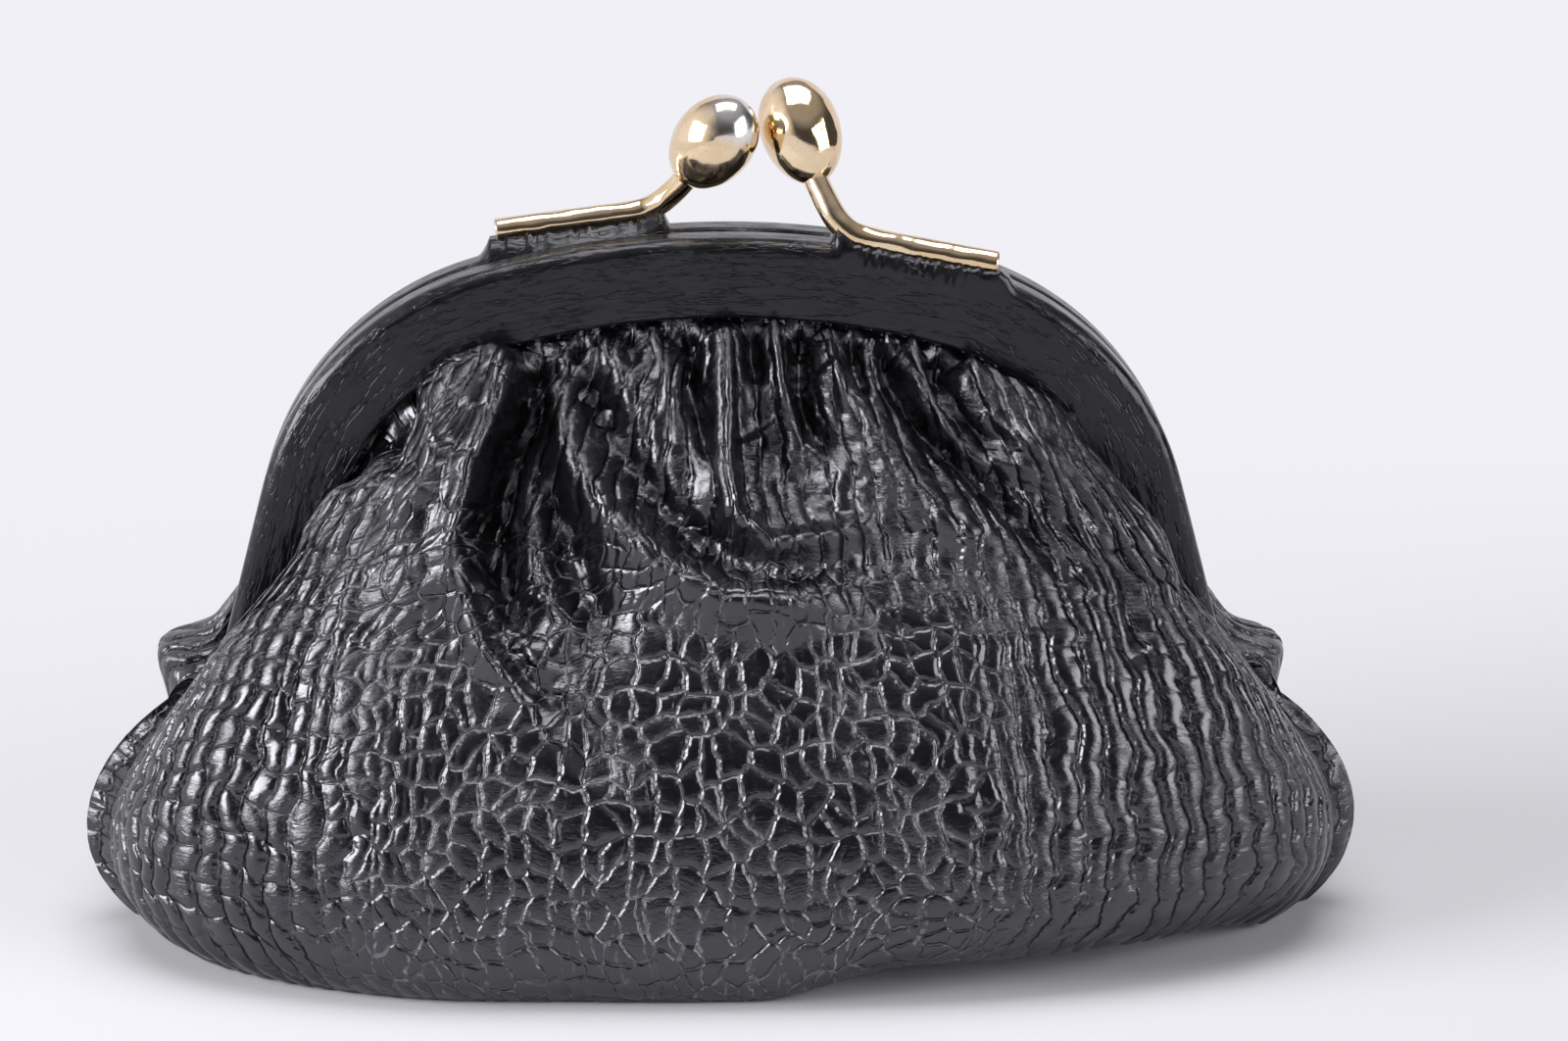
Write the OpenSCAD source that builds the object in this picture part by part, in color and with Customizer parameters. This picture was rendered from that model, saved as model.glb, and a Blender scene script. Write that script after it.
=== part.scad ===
// Kiss lock frame purse: a gathered leather pouch on a covered, hinged frame.
// Millimetres. X runs along the frame, +Y points to the back, +Z points up.
// The origin is in the middle of the underside, on the table.

/* [Frame] */
// Height of the covered frame's top above the table
frame_top = 72.2; // [70:0.1:76]
// Radius of the wide arc along the top of the frame
crown_radius = 90; // [84:1:96]
// Half of the angle that the wide arc covers
crown_half_angle = 16; // [15:0.5:17]
// Radius of the arc at each shoulder
shoulder_radius = 31; // [29:0.5:33]
// Slant of each leg away from upright
leg_slant = 15; // [12:1:17]
// Height of the hinge rivets above the table
hinge_height = 27; // [26:0.5:29]
// Height of the covered frame from its outer edge to its lips
frame_height = 8; // [7.5:0.1:9]
// Wall of the bent steel channel
channel_wall = 0.6; // [0.5:0.05:0.8]
// Thickness of the leather that covers the frame
cover_thickness = 0.5; // [0.4:0.05:0.7]
// How far the cover reaches past the channel's lips
cover_overhang = 0.4; // [0.2:0.1:0.8]
// Gap between the two closed halves
half_gap = 0.3; // [0.2:0.05:0.5]
// Gap between layers inside the channel
layer_gap = 0.1; // [0.06:0.01:0.14]

/* [Hinge] */
// Radius of the round ear at the end of each leg
ear_radius = 2.6; // [2.3:0.1:2.8]
// Distance from the rivet up to the end of the leg
ear_neck = 3.6; // [3.5:0.1:4]
// Radius of the rivet's shank
rivet_radius = 1; // [0.8:0.05:1.1]
// Clearance round the shank in each ear
rivet_clearance = 0.05; // [0.02:0.01:0.1]
// Radius of the rivet's heads
rivet_head_radius = 1.8; // [1.5:0.1:2]
// Thickness of each rivet head
rivet_head_thickness = 0.6; // [0.4:0.1:0.8]
// Gap between the ears and beside the heads
ear_gap = 0.1; // [0.06:0.01:0.15]

/* [Clasp] */
// Radius of the round clasp rod
rod_radius = 1.15; // [1:0.05:1.25]
// Inner line radius of the bend below each ball
rod_bend_radius = 3; // [2.5:0.1:3.5]
// Radius of a ball across its axis
ball_radius = 4; // [3.6:0.1:4.1]
// Half of a ball's length along its axis
ball_half_length = 5.6; // [5.2:0.1:6]
// How far the rod goes into the ball
ball_socket_depth = 2.4; // [1.8:0.1:3]
// Clearance round the rod in the ball's socket
socket_clearance = 0.03; // [0.02:0.01:0.06]
// Where the two balls meet, right of the middle
clasp_offset = 3.7; // [0:0.1:6]
// Sideways gap by which the balls pass each other
ball_pass_gap = 0.1; // [0.08:0.01:0.2]
// How far each ball leans over the other half
ball_lean = 1.5; // [1:0.1:2]
// Height of the front ball's middle above the top of the frame
front_ball_rise = 9.6; // [9.2:0.1:10.4]
// Height of the back ball's middle above the top of the frame
back_ball_rise = 9.1; // [8.8:0.1:10]
// How far the front rod stands above the channel
front_rod_lift = 0.05; // [0.02:0.01:0.3]
// How far the back rod stands above the channel
back_rod_lift = 0.8; // [0.02:0.01:1]
// Distance from where the balls meet to the front rod's free end
front_rod_reach = 23.9; // [22:0.1:25]
// Distance from where the balls meet to the back rod's free end
back_rod_reach = 26.5; // [25:0.1:28]
// Distance from where the balls meet to the front rod's bend
front_corner_reach = 7.7; // [7.4:0.1:8.4]
// Distance from where the balls meet to the back rod's bend
back_corner_reach = 9.9; // [9.6:0.1:10.6]
// Distance from where the balls meet to the middle of each braze
braze_reach = 14.2; // [13.6:0.1:15]

/* [Pouch] */
// Thickness of the pouch leather
panel_thickness = 0.9; // [0.7:0.05:1.1]
// Thickness of the lining
lining_thickness = 0.4; // [0.3:0.05:0.5]
// Space between leather and lining in the body of the pouch
lining_space = 0.4; // [0.3:0.05:0.6]
// Half of the pouch's length where it stands on the table
foot_half_length = 57; // [54:0.5:60]
// Half of the pouch's depth where it stands on the table
foot_half_depth = 26; // [22:0.5:28]
// How far the ends swell beyond the foot
end_swell = 16; // [12:0.5:20]
// How far the belly swells beyond the foot
belly_swell = 12; // [8:0.5:16]
// Height of the swell above the table
swell_height = 10; // [8:0.5:14]
// How far the bulge beside the hinges passes the frame's height
bulge_margin = 8; // [6:0.5:10]
// How far the pouch's waist passes its foot
waist_margin = 3; // [1:0.5:5]
// How much shorter the lining's waist is than its foot
lining_taper = 20; // [14:1:26]
// Power of the outline seen from above, where 2 is an ellipse
outline_power = 2.3; // [2:0.1:2.8]
// Number of gathers along the front
pleat_count = 9; // [5:1:12]
// Depth of the gathers below the frame
pleat_depth = 1.6; // [0.8:0.1:2.2]

/* [Small parts] */
// Diameter of the twisted paper cord in the channel
paper_cord_diameter = 1; // [0.8:0.05:1.2]
// Diameter of the seam thread
thread_diameter = 0.3; // [0.2:0.05:0.4]
// Distance from stitch to stitch
stitch_pitch = 3.2; // [2.5:0.1:5]
// Length of each stitch across the seam
stitch_length = 2.4; // [1.6:0.1:3]

/* [Hidden] */

leather_black = "#1b1b1f";
cover_black = "#232327";
lining_black = "#3a3538";
frame_steel = "#a9adb2";
pale_gold = "#dcc391";
cord_tan = "#b89f78";
thread_black = "#2c2c30";

// Depths of the layers in one half, measured from the plane between the halves
cover_inner = half_gap / 2;
channel_inner = cover_inner + cover_thickness;
slot_inner = channel_inner + channel_wall;
cord_middle = slot_inner + layer_gap + paper_cord_diameter / 2;
lining_inner = slot_inner + paper_cord_diameter + 2 * layer_gap;
lining_outer = lining_inner + lining_thickness;
panel_inner = lining_outer + layer_gap;
panel_outer = panel_inner + panel_thickness;
slot_outer = panel_outer + layer_gap;
channel_outer = slot_outer + channel_wall;
cover_outer = channel_outer + cover_thickness;
half_middle = (channel_inner + channel_outer) / 2;

// Centres and ends of the frame's outline
crown_center = [0, frame_top - crown_radius];
radius_step = crown_radius - shoulder_radius;
shoulder_center = [radius_step * sin(crown_half_angle),
    crown_center.y + radius_step * cos(crown_half_angle)];
leg_top = shoulder_center + shoulder_radius * [cos(leg_slant), sin(leg_slant)];
leg_length = (leg_top.y - hinge_height - ear_neck) / cos(leg_slant);
shoulder_sweep = 90 - leg_slant - crown_half_angle;
crown_run = crown_radius * crown_half_angle * PI / 180;
shoulder_run = shoulder_radius * shoulder_sweep * PI / 180;
half_run = crown_run + shoulder_run + leg_length;

// Point of the frame's outline, a run along it from the top, a depth inside it
function outline_point(run, depth) =
    run < crown_run ? arc_point(crown_center, crown_radius - depth, run / crown_radius * 180 / PI)
    : run < crown_run + shoulder_run
        ? arc_point(shoulder_center, shoulder_radius - depth,
            crown_half_angle + (run - crown_run) / shoulder_radius * 180 / PI)
    : leg_top + (run - crown_run - shoulder_run) * [sin(leg_slant), -cos(leg_slant)]
        - depth * [cos(leg_slant), sin(leg_slant)];
function arc_point(center, radius, angle) = center + radius * [sin(angle), cos(angle)];
function signed_point(run, depth) =
    let (p = outline_point(abs(run), depth)) [run < 0 ? -p.x : p.x, p.y];
function crown_height(x, depth) =
    crown_center.y + sqrt(pow(crown_radius - depth, 2) - x * x);

// Places of the hinge ears along X, for the front half's outer ear
ear_tuck = 0.2;
ear_bend_height = hinge_height + ear_neck - ear_tuck;
web_top = leg_top - cover_thickness * [cos(leg_slant), sin(leg_slant)];
function web_outer_x(height) = web_top.x + (web_top.y - height) * tan(leg_slant);
web_width = channel_wall / cos(leg_slant);
ear_outer_x = web_outer_x(ear_bend_height);
ear_step = channel_wall + ear_gap;
ear_inset = 0.05;
ear_joggle = ear_neck - ear_tuck - ear_radius - ear_inset;
ear_overlap = 3;
rivet_grip = ear_step + channel_wall + 2 * ear_gap;

// Clasp points as [x, depth from the middle plane, height], for each half.
// Each rod touches the channel where its straight run is tangent to the crown.
rod_line = channel_outer - rod_radius - 0.15;
braze_film = 0.02;
braze_half_length = 3.5;
slit_margin = 0.4;
tilt_spread = [1.048, 1.115]; // how far a tilted ball reaches, in radii, for the front and the back
front_touch_x = clasp_offset + braze_reach;
back_touch_x = clasp_offset - braze_reach;
function touch_x(corner) = corner.x > clasp_offset ? front_touch_x : back_touch_x;
function rod_height(x, touch, lift) =
    let (turn = asin(touch / crown_radius))
    crown_height(touch, 0) + (rod_radius - cover_thickness + lift) / cos(turn) - (x - touch) * tan(turn);
front_ball_x = clasp_offset + ball_pass_gap / 2 + ball_radius * tilt_spread[0];
back_ball_x = clasp_offset - ball_pass_gap / 2 - ball_radius * tilt_spread[1];
function front_rod_point(reach) = [clasp_offset + reach, rod_line,
    rod_height(clasp_offset + reach, front_touch_x, front_rod_lift)];
function back_rod_point(reach) = [clasp_offset - reach, rod_line,
    rod_height(clasp_offset - reach, back_touch_x, back_rod_lift)];
front_rod_end = front_rod_point(front_rod_reach);
front_corner = front_rod_point(front_corner_reach);
front_ball_middle = [front_ball_x, -ball_lean, frame_top + front_ball_rise];
back_rod_end = back_rod_point(back_rod_reach);
back_corner = back_rod_point(back_corner_reach);
back_ball_middle = [back_ball_x, -ball_lean, frame_top + back_ball_rise];

// Shape of the pouch
seam_gap = 0.1;
seam_half = seam_gap / 2;
exit_gap = 0.4;
exit_depth = frame_height + exit_gap;
slot_room = 0.5;
slot_depth = cover_thickness + channel_wall + slot_room;
panel_run = half_run - slot_room;
hinge_share = 0.44;
outline_share = 2 / outline_power;
seam_inset = 5;
function edge_cos(angle) = sign(cos(angle)) * pow(abs(cos(angle)), outline_share);
function edge_sin(angle) = pow(max(sin(angle), 0), outline_share);
function smooth(v) = let (c = min(max(v, 0), 1)) c * c * (3 - 2 * c);
function bend(a, b, c, d, e, t) =
    let (s = 1 - t)
    a * s * s * s * s + 4 * b * s * s * s * t + 6 * c * s * s * t * t + 4 * d * s * t * t * t + e * t * t * t * t;

// Shapes of the leather and of the lining, as lists in this order
TOP = 0; // depth in the channel
LENGTH = 1; // half length of the foot
DEPTH = 2; // half depth of the foot
SWELL = 3; // swell of the ends
BELLY = 4; // swell of the belly
REACH = 5; // how far the sheet passes the lips beside the hinge
WIDTH = 6; // half length halfway up
DROP = 7; // drop below the hinge
ROOM = 8; // room in front of the frame's legs
RISE = 9; // how quickly the belly comes forward below the lips
FLOOR = 10; // height of the bottom
lining_inset = panel_thickness + lining_space;
leather_bulge = frame_height + bulge_margin;
leather_waist = foot_half_length + waist_margin;
leather_sag = 1;
leather_room = 5.5;
lining_draw = 9;
lining_waist = foot_half_length - lining_taper;
leather_shape = [panel_outer, foot_half_length, foot_half_depth, end_swell, belly_swell,
    leather_bulge, leather_waist, leather_sag, leather_room, 1, 0];
lining_shape = [lining_outer, foot_half_length - lining_inset, foot_half_depth - lining_inset,
    end_swell - 4 * lining_inset, belly_swell - 2 * lining_inset,
    -lining_draw, lining_waist, lining_draw, 0, 0.7, lining_inset];
tuck_in = 3;
shoulder_drop = 20;
swell_lift = -4;
belly_rise = 4.5;

// Outer face of a sheet: angle runs from the right end over the front to the left end,
// t runs from the frame's lips down to the table
function skin(angle, t, shape) =
    let (
        c = edge_cos(angle),
        s = edge_sin(angle),
        run = panel_run * (1 - angle / 90),
        lip = signed_point(run, exit_depth),
        inward = unit(signed_point(run, exit_depth + tuck_in) - lip),
        first = lip + tuck_in * (2 + s) / 3 * inward + [0, -shape[DROP] / 4 * (1 - s)],
        wide = (1 - s) * (abs(lip.x) + shape[REACH]) + s * shape[WIDTH] * abs(c),
        second = [sign(c) * wide, hinge_height - shape[DROP] + (frame_top - hinge_height - shoulder_drop) * s],
        third = [(shape[LENGTH] + shape[SWELL]) * c, swell_height + swell_lift * s],
        last = [shape[LENGTH] * c, shape[FLOOR]],
        flat = bend(lip, first, second, third, last, t),
        front = shape[DEPTH] + shape[BELLY],
        rise = shape[RISE] * belly_rise + shape[ROOM] * (1 - s),
        belly = s * bend(0, rise, 4 * rise, front, shape[DEPTH], t),
        near = min(t / hinge_share, 1),
        lean = (shape[TOP] - seam_half) * (1 - smooth(near)),
        room = (shape[ROOM] * (1 - s * s) + shape[RISE] * belly_rise / 5 * s * s) * 4 * near * (1 - near)
    )
    [flat.x, -(seam_half + belly + lean + room), flat.y];

step_angle = 0.4;
step_t = 0.01;
function skin_normal(angle, t, shape) =
    let (
        a0 = max(angle - step_angle, 0),
        a1 = min(angle + step_angle, 180),
        t0 = max(t - step_t, 0),
        t1 = min(t + step_t, 1),
        n = cross(skin(a1, t, shape) - skin(a0, t, shape), skin(angle, t1, shape) - skin(angle, t0, shape))
    )
    n / norm(n);

// Height of the gathers at one place, outwards from the plain skin
function pleat(angle, t) =
    pleat_depth * pow(edge_sin(angle), 3) * smooth(t / 0.12) * (1 - smooth((t - 0.15) / 0.5))
    * pow(0.5 + 0.5 * cos(pleat_count * (angle - 90) * 3), 2);

// One side of a ring of a shell, from the channel down to the bottom seam, a depth inside the skin
function side_count(steps) = steps + 4;
function shell_side(angle, steps, shape, depth, gathers) =
    let (
        run = panel_run * (1 - angle / 90),
        top = signed_point(run, slot_depth),
        lip = signed_point(run, exit_depth),
        outward = skin_normal(angle, 1, shape),
        level = [outward.x, outward.y, 0] / norm([outward.x, outward.y]),
        bottom = shape[FLOOR] + depth,
        foot_at = skin(angle, 1, shape) - depth * level,
        foot = [foot_at.x, min(foot_at.y, -seam_half), bottom],
        seam = [(shape[LENGTH] - seam_inset) * cos(angle), -seam_half, bottom]
    )
    concat(
        [[top.x, depth - shape[TOP], top.y], [lip.x, depth - shape[TOP], lip.y]],
        [for (i = [1 : steps - 1])
            let (
                t = pow(i / steps, 1.2),
                lift = gathers * pleat(angle, t),
                p = skin(angle, t, shape) + (lift - depth) * skin_normal(angle, t, shape)
            )
            [p.x, min(p.y, -seam_half), max(p.z, bottom)]],
        [foot, (foot + seam) / 2, seam]
    );

// Closed shell swept from ring to ring, with a strip across each end
module shell(turns, steps, shape, thickness, gathers) {
    side = side_count(steps);
    ring = 2 * side;
    points = [for (k = [0 : turns])
        let (angle = 180 * k / turns)
        each concat(shell_side(angle, steps, shape, 0, gathers),
            reversed(shell_side(angle, steps, shape, thickness, gathers)))];
    walls = [for (k = [0 : turns - 1], p = [0 : ring - 1])
        let (
            a = k * ring + p,
            b = k * ring + (p + 1) % ring,
            c = b + ring,
            d = a + ring,
            crossed = (k < turns / 2) == (p < side)
        )
        each crossed ? [[a, b, d], [b, c, d]] : [[a, b, c], [a, c, d]]];
    first_end = [for (p = [0 : side - 2])
        let (a = p, b = p + 1, c = ring - 2 - p, d = ring - 1 - p)
        each [[a, c, b], [a, d, c]]];
    last_end = [for (p = [0 : side - 2])
        let (o = turns * ring, a = o + p, b = o + p + 1, c = o + ring - 2 - p, d = o + ring - 1 - p)
        each [[a, b, c], [a, c, d]]];
    polyhedron(points = points, faces = concat(walls, first_end, last_end), convexity = 8);
}

// Stops along the frame's outline, which reaches a little further at both ends if asked
crown_steps = 8;
shoulder_steps = 20;
function stops(extra) = concat(
    [-half_run - extra],
    [for (i = [shoulder_steps : -1 : 1]) -crown_run - shoulder_run * i / shoulder_steps],
    [for (i = [-crown_steps : crown_steps]) crown_run * i / crown_steps],
    [for (i = [1 : shoulder_steps]) crown_run + shoulder_run * i / shoulder_steps],
    [half_run + extra]);
function rail(depth, extra) = [for (run = stops(extra)) signed_point(run, depth)];
function reversed(list) = [for (i = [len(list) - 1 : -1 : 0]) list[i]];

// Band between two depths of the outline, from one distance to another in front of the middle plane
module band(depth_a, depth_b, near, far, extra) {
    translate([0, -near, 0]) rotate([90, 0, 0]) linear_extrude(far - near)
        polygon(concat(rail(depth_a, extra), reversed(rail(depth_b, extra))));
}

// Bent lug at the end of a leg, drawn for the front half's right leg
module ear(shift) {
    top = ear_bend_height + ear_overlap;
    bottom = hinge_height - 2 * ear_radius;
    span = 2 * channel_outer;
    outer = ear_outer_x - shift;
    intersection() {
        translate([0, span, 0]) rotate([90, 0, 0]) linear_extrude(2 * span) polygon([
            [web_outer_x(top) - ear_inset, top], [web_outer_x(top) - web_width + ear_inset, top],
            [ear_outer_x - web_width + ear_inset, ear_bend_height],
            [outer - channel_wall, ear_bend_height - ear_joggle],
            [outer - channel_wall, bottom], [outer, bottom],
            [outer, ear_bend_height - ear_joggle], [ear_outer_x - ear_inset, ear_bend_height]]);
        translate([ear_outer_x - span, 0, 0]) rotate([90, 0, 90]) linear_extrude(2 * span) difference() {
            union() {
                translate([0, hinge_height]) circle(ear_radius, $fn = 64);
                polygon([[-channel_outer, top + 1], [-channel_inner, top + 1],
                    [-channel_inner, hinge_height + ear_radius], [ear_radius * 0.7, hinge_height + ear_radius * 0.65],
                    [0, hinge_height], [-ear_radius * 0.92, hinge_height + ear_radius * 0.3],
                    [-channel_outer, ear_bend_height]]);
            }
            translate([0, hinge_height]) circle(rivet_radius + rivet_clearance, $fn = 64);
        }
    }
}

module channel(shift) {
    lip_depth = frame_height - cover_overhang;
    color(frame_steel) {
        difference() {
            band(cover_thickness, lip_depth, channel_inner, channel_outer, 0);
            band(cover_thickness + channel_wall, lip_depth + slot_room, slot_inner, slot_outer, slot_room);
        }
        ear(shift);
        mirror([1, 0, 0]) ear(shift);
    }
}

function unit(v) = v / norm(v);
function side_axis(z) = unit(cross([0, 0, 1], z));
module place(origin, x, y, z) {
    multmatrix([[x.x, y.x, z.x, origin.x], [x.y, y.y, z.y, origin.y], [x.z, y.z, z.z, origin.z]])
        children();
}

// Round bar along a path that lies in one plane, whose normal is the axis
module bar(path, axis, radius, sides) {
    last = len(path) - 1;
    points = [for (k = [0 : last])
        let (along = unit(path[min(k + 1, last)] - path[max(k - 1, 0)]), across = cross(along, axis))
        for (i = [0 : sides - 1])
            path[k] + radius * (cos(360 * i / sides) * axis + sin(360 * i / sides) * across)];
    walls = [for (k = [0 : last - 1], i = [0 : sides - 1])
        let (a = k * sides + i, b = k * sides + (i + 1) % sides)
        each [[a, a + sides, b], [b, a + sides, b + sides]]];
    first_cap = [for (i = [1 : sides - 2]) [0, i, i + 1]];
    last_cap = [for (i = [1 : sides - 2])
        [last * sides, last * sides + i + 1, last * sides + i]];
    polyhedron(points = points, faces = concat(walls, first_cap, last_cap), convexity = 4);
}

// Path of a bent rod: straight, round the corner, straight again
bend_steps = 10;
function rod_axis(start, corner, end) = unit(cross(corner - start, end - corner));
function rod_path(start, corner, end) =
    let (
        first = unit(corner - start),
        second = unit(end - corner),
        turn = acos(first * second),
        axis = rod_axis(start, corner, end),
        outward = -cross(axis, first),
        center = corner - first * rod_bend_radius * tan(turn / 2) - outward * rod_bend_radius
    )
    concat([start],
        [for (i = [0 : bend_steps])
            let (a = turn * i / bend_steps)
            center + rod_bend_radius * (cos(a) * outward + sin(a) * first)],
        [end]);

// Points given as depth from the middle plane are turned into places of the front half
function front(p) = [p.x, -p.y, p.z];
function socket_end(corner, middle) =
    middle - unit(middle - corner) * (ball_half_length - ball_socket_depth);

module clasp_arm(end, corner, middle) {
    start = front(end);
    turn = front(corner);
    tip = front(socket_end(corner, middle));
    color(pale_gold) {
        bar(rod_path(start, turn, tip), rod_axis(start, turn, tip), rod_radius, 16);
        braze(end, corner);
    }
}
// Braze under the rod, down to the channel's web
braze_steps = 5;
module braze(end, corner) {
    side = sign(corner.x - end.x);
    low = touch_x(corner) - side * braze_half_length;
    high = touch_x(corner) + side * braze_half_length;
    slope = (corner.z - end.z) / (corner.x - end.x);
    translate([0, -rod_line + rod_radius / 2, 0]) rotate([90, 0, 0]) linear_extrude(rod_radius)
        polygon(concat(
            [[high, end.z + slope * (high - end.x)], [low, end.z + slope * (low - end.x)]],
            [for (i = [0 : braze_steps])
                let (x = low + (high - low) * i / braze_steps)
                [x, crown_height(x, cover_thickness - braze_film)]]));
}

module clasp_ball(corner, middle) {
    axis = unit(front(middle) - front(corner));
    color(pale_gold) place(front(middle), side_axis(axis), cross(axis, side_axis(axis)), axis)
        difference() {
            rotate_extrude($fn = 96) polygon([for (a = [-90 : 7.5 : 90])
                [ball_radius * cos(a), ball_half_length * sin(a)]]);
            translate([0, 0, -ball_half_length - 1])
                cylinder(h = ball_socket_depth + 1, r = rod_radius + socket_clearance, $fn = 48);
        }
}

module cover(end, corner) {
    slit_low = min(end.x, corner.x) - slit_margin;
    slit_length = abs(corner.x - end.x) + 2 * slit_margin;
    slit_half = rod_radius + layer_gap;
    color(cover_black) difference() {
        band(0, frame_height, cover_inner, cover_outer, 0);
        band(cover_thickness, frame_height + slot_room, channel_inner, channel_outer, slot_room);
        translate([slit_low, -rod_line - slit_half, frame_top - 2 * frame_height])
            cube([slit_length, 2 * slit_half, 3 * frame_height]);
    }
}

module paper_cord() {
    cord_depth = cover_thickness + channel_wall + 2 * paper_cord_diameter;
    color(cord_tan)
        bar([for (p = rail(cord_depth, 0)) [p.x, -cord_middle, p.y]], [0, 1, 0], paper_cord_diameter / 2, 8);
}

module rivet() {
    outer = ear_outer_x + ear_gap;
    inner = outer - rivet_grip;
    color(frame_steel) {
        translate([inner - rivet_head_thickness, 0, hinge_height]) rotate([0, 90, 0])
            cylinder(h = rivet_head_thickness, r = rivet_head_radius, $fn = 48);
        translate([inner, 0, hinge_height]) rotate([0, 90, 0])
            cylinder(h = rivet_grip, r = rivet_radius, $fn = 48);
        translate([outer, 0, hinge_height]) rotate([0, 90, 0])
            cylinder(h = rivet_head_thickness, r = rivet_head_radius, $fn = 48);
    }
}

module panel() {
    color(leather_black) shell(44, 16, leather_shape, panel_thickness, 1);
}
module lining() {
    color(lining_black) shell(44, 16, lining_shape, lining_thickness, 0);
}

// Stitches across a seam, halfway into the sheet, up both ends and along the bottom
module seam_stitches(shape, thickness, first_share) {
    depth = thickness / 2;
    half = shape[LENGTH] - seam_inset;
    end_run = norm(skin(0, 1, shape) - skin(0, first_share, shape));
    end_count = floor(end_run / stitch_pitch);
    bottom_count = floor(2 * half / stitch_pitch);
    color(thread_black) {
        for (i = [0 : end_count - 1])
            let (
                share = first_share + (0.97 - first_share) * i / end_count,
                p = skin(0, share, shape) - depth * skin_normal(0, share, shape)
            ) {
                stitch(p);
                stitch([-p.x, 0, p.z]);
            }
        for (i = [0 : bottom_count])
            stitch([half * (2 * i / bottom_count - 1), 0, shape[FLOOR] + depth]);
    }
}
module stitch(p) {
    translate([p.x, stitch_length / 2, p.z]) rotate([90, 0, 0])
        cylinder(h = stitch_length, r = thread_diameter / 2, $fn = 16);
}

module front_channel() { channel(0); }
module back_channel() { mirror([0, 1, 0]) channel(ear_step); }
module front_cover() { cover(front_rod_end, front_corner); }
module back_cover() { mirror([0, 1, 0]) cover(back_rod_end, back_corner); }
module front_clasp_arm() { clasp_arm(front_rod_end, front_corner, front_ball_middle); }
module back_clasp_arm() { mirror([0, 1, 0]) clasp_arm(back_rod_end, back_corner, back_ball_middle); }
module front_clasp_ball() { clasp_ball(front_corner, front_ball_middle); }
module back_clasp_ball() { mirror([0, 1, 0]) clasp_ball(back_corner, back_ball_middle); }
module front_paper_cord() { paper_cord(); }
module back_paper_cord() { mirror([0, 1, 0]) paper_cord(); }
module left_rivet() { mirror([1, 0, 0]) rivet(); }
module right_rivet() { rivet(); }
module front_panel() { panel(); }
module back_panel() { mirror([0, 1, 0]) panel(); }
module front_lining() { lining(); }
module back_lining() { mirror([0, 1, 0]) lining(); }
module panel_seam_thread() { seam_stitches(leather_shape, panel_thickness, 0.5); }
module lining_seam_thread() { seam_stitches(lining_shape, lining_thickness, 0.5); }

front_channel();
back_channel();
front_cover();
back_cover();
front_clasp_arm();
back_clasp_arm();
front_clasp_ball();
back_clasp_ball();
front_paper_cord();
back_paper_cord();
left_rivet();
right_rivet();
front_panel();
back_panel();
front_lining();
back_lining();
panel_seam_thread();
lining_seam_thread();
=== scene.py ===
import math
import bmesh
import bpy
import numpy as np
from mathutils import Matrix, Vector


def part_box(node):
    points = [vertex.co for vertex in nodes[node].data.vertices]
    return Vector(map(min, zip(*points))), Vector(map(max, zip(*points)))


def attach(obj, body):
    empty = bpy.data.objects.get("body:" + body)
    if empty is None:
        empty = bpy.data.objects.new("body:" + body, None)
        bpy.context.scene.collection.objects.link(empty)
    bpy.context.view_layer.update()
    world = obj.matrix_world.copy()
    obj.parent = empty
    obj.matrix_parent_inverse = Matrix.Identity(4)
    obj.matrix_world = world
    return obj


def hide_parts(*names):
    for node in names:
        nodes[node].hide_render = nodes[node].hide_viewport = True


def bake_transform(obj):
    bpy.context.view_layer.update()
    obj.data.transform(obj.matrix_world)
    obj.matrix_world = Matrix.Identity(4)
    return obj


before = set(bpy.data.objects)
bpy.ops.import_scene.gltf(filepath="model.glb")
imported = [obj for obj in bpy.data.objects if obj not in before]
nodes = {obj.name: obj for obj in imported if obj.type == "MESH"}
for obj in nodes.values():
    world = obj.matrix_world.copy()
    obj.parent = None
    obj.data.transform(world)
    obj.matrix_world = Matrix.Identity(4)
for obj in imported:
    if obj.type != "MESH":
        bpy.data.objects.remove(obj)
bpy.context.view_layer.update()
mm = 0.001
print("frame loaded")

# The frame's outline, in millimetres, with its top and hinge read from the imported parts
arch = {
    "top": round(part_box("front_cover")[1].z / mm, 2),
    "hinge": round((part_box("left_rivet")[0].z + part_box("left_rivet")[1].z) / 2 / mm, 2),
    "crown": 90.0,
    "crownAngle": 16.0,
    "shoulder": 31.0,
    "slant": 15.0,
    "neck": 3.6,
    "height": 8.0,
}

# Depths of the layers of one half, outwards from the plane between the halves
layers = {
    "coverInner": 0.15,
    "cord": 1.85,
    "liningOuter": 2.85,
    "panelOuter": 3.85,
    "coverOuter": 5.05,
}


# Shared helpers

def smooth(v):
    v = np.clip(v, 0.0, 1.0)
    return v * v * (3 - 2 * v)


def unitVectors(v):
    return v / np.maximum(np.linalg.norm(v, axis=-1, keepdims=True), 1e-9)


def archRuns():
    step = arch["crown"] - arch["shoulder"]
    turn = math.radians(arch["crownAngle"])
    slant = math.radians(arch["slant"])
    crownRun = arch["crown"] * turn
    shoulderRun = arch["shoulder"] * (math.pi / 2 - slant - turn)
    centre = (step * math.sin(turn), arch["top"] - arch["crown"] + step * math.cos(turn))
    legTop = (centre[0] + arch["shoulder"] * math.cos(slant),
              centre[1] + arch["shoulder"] * math.sin(slant))
    legRun = (legTop[1] - arch["hinge"] - arch["neck"]) / math.cos(slant)
    return crownRun, shoulderRun, legRun, centre, legTop


crownRun, shoulderRun, legRun, shoulderCentre, legTop = archRuns()
halfRun = crownRun + shoulderRun + legRun


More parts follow.
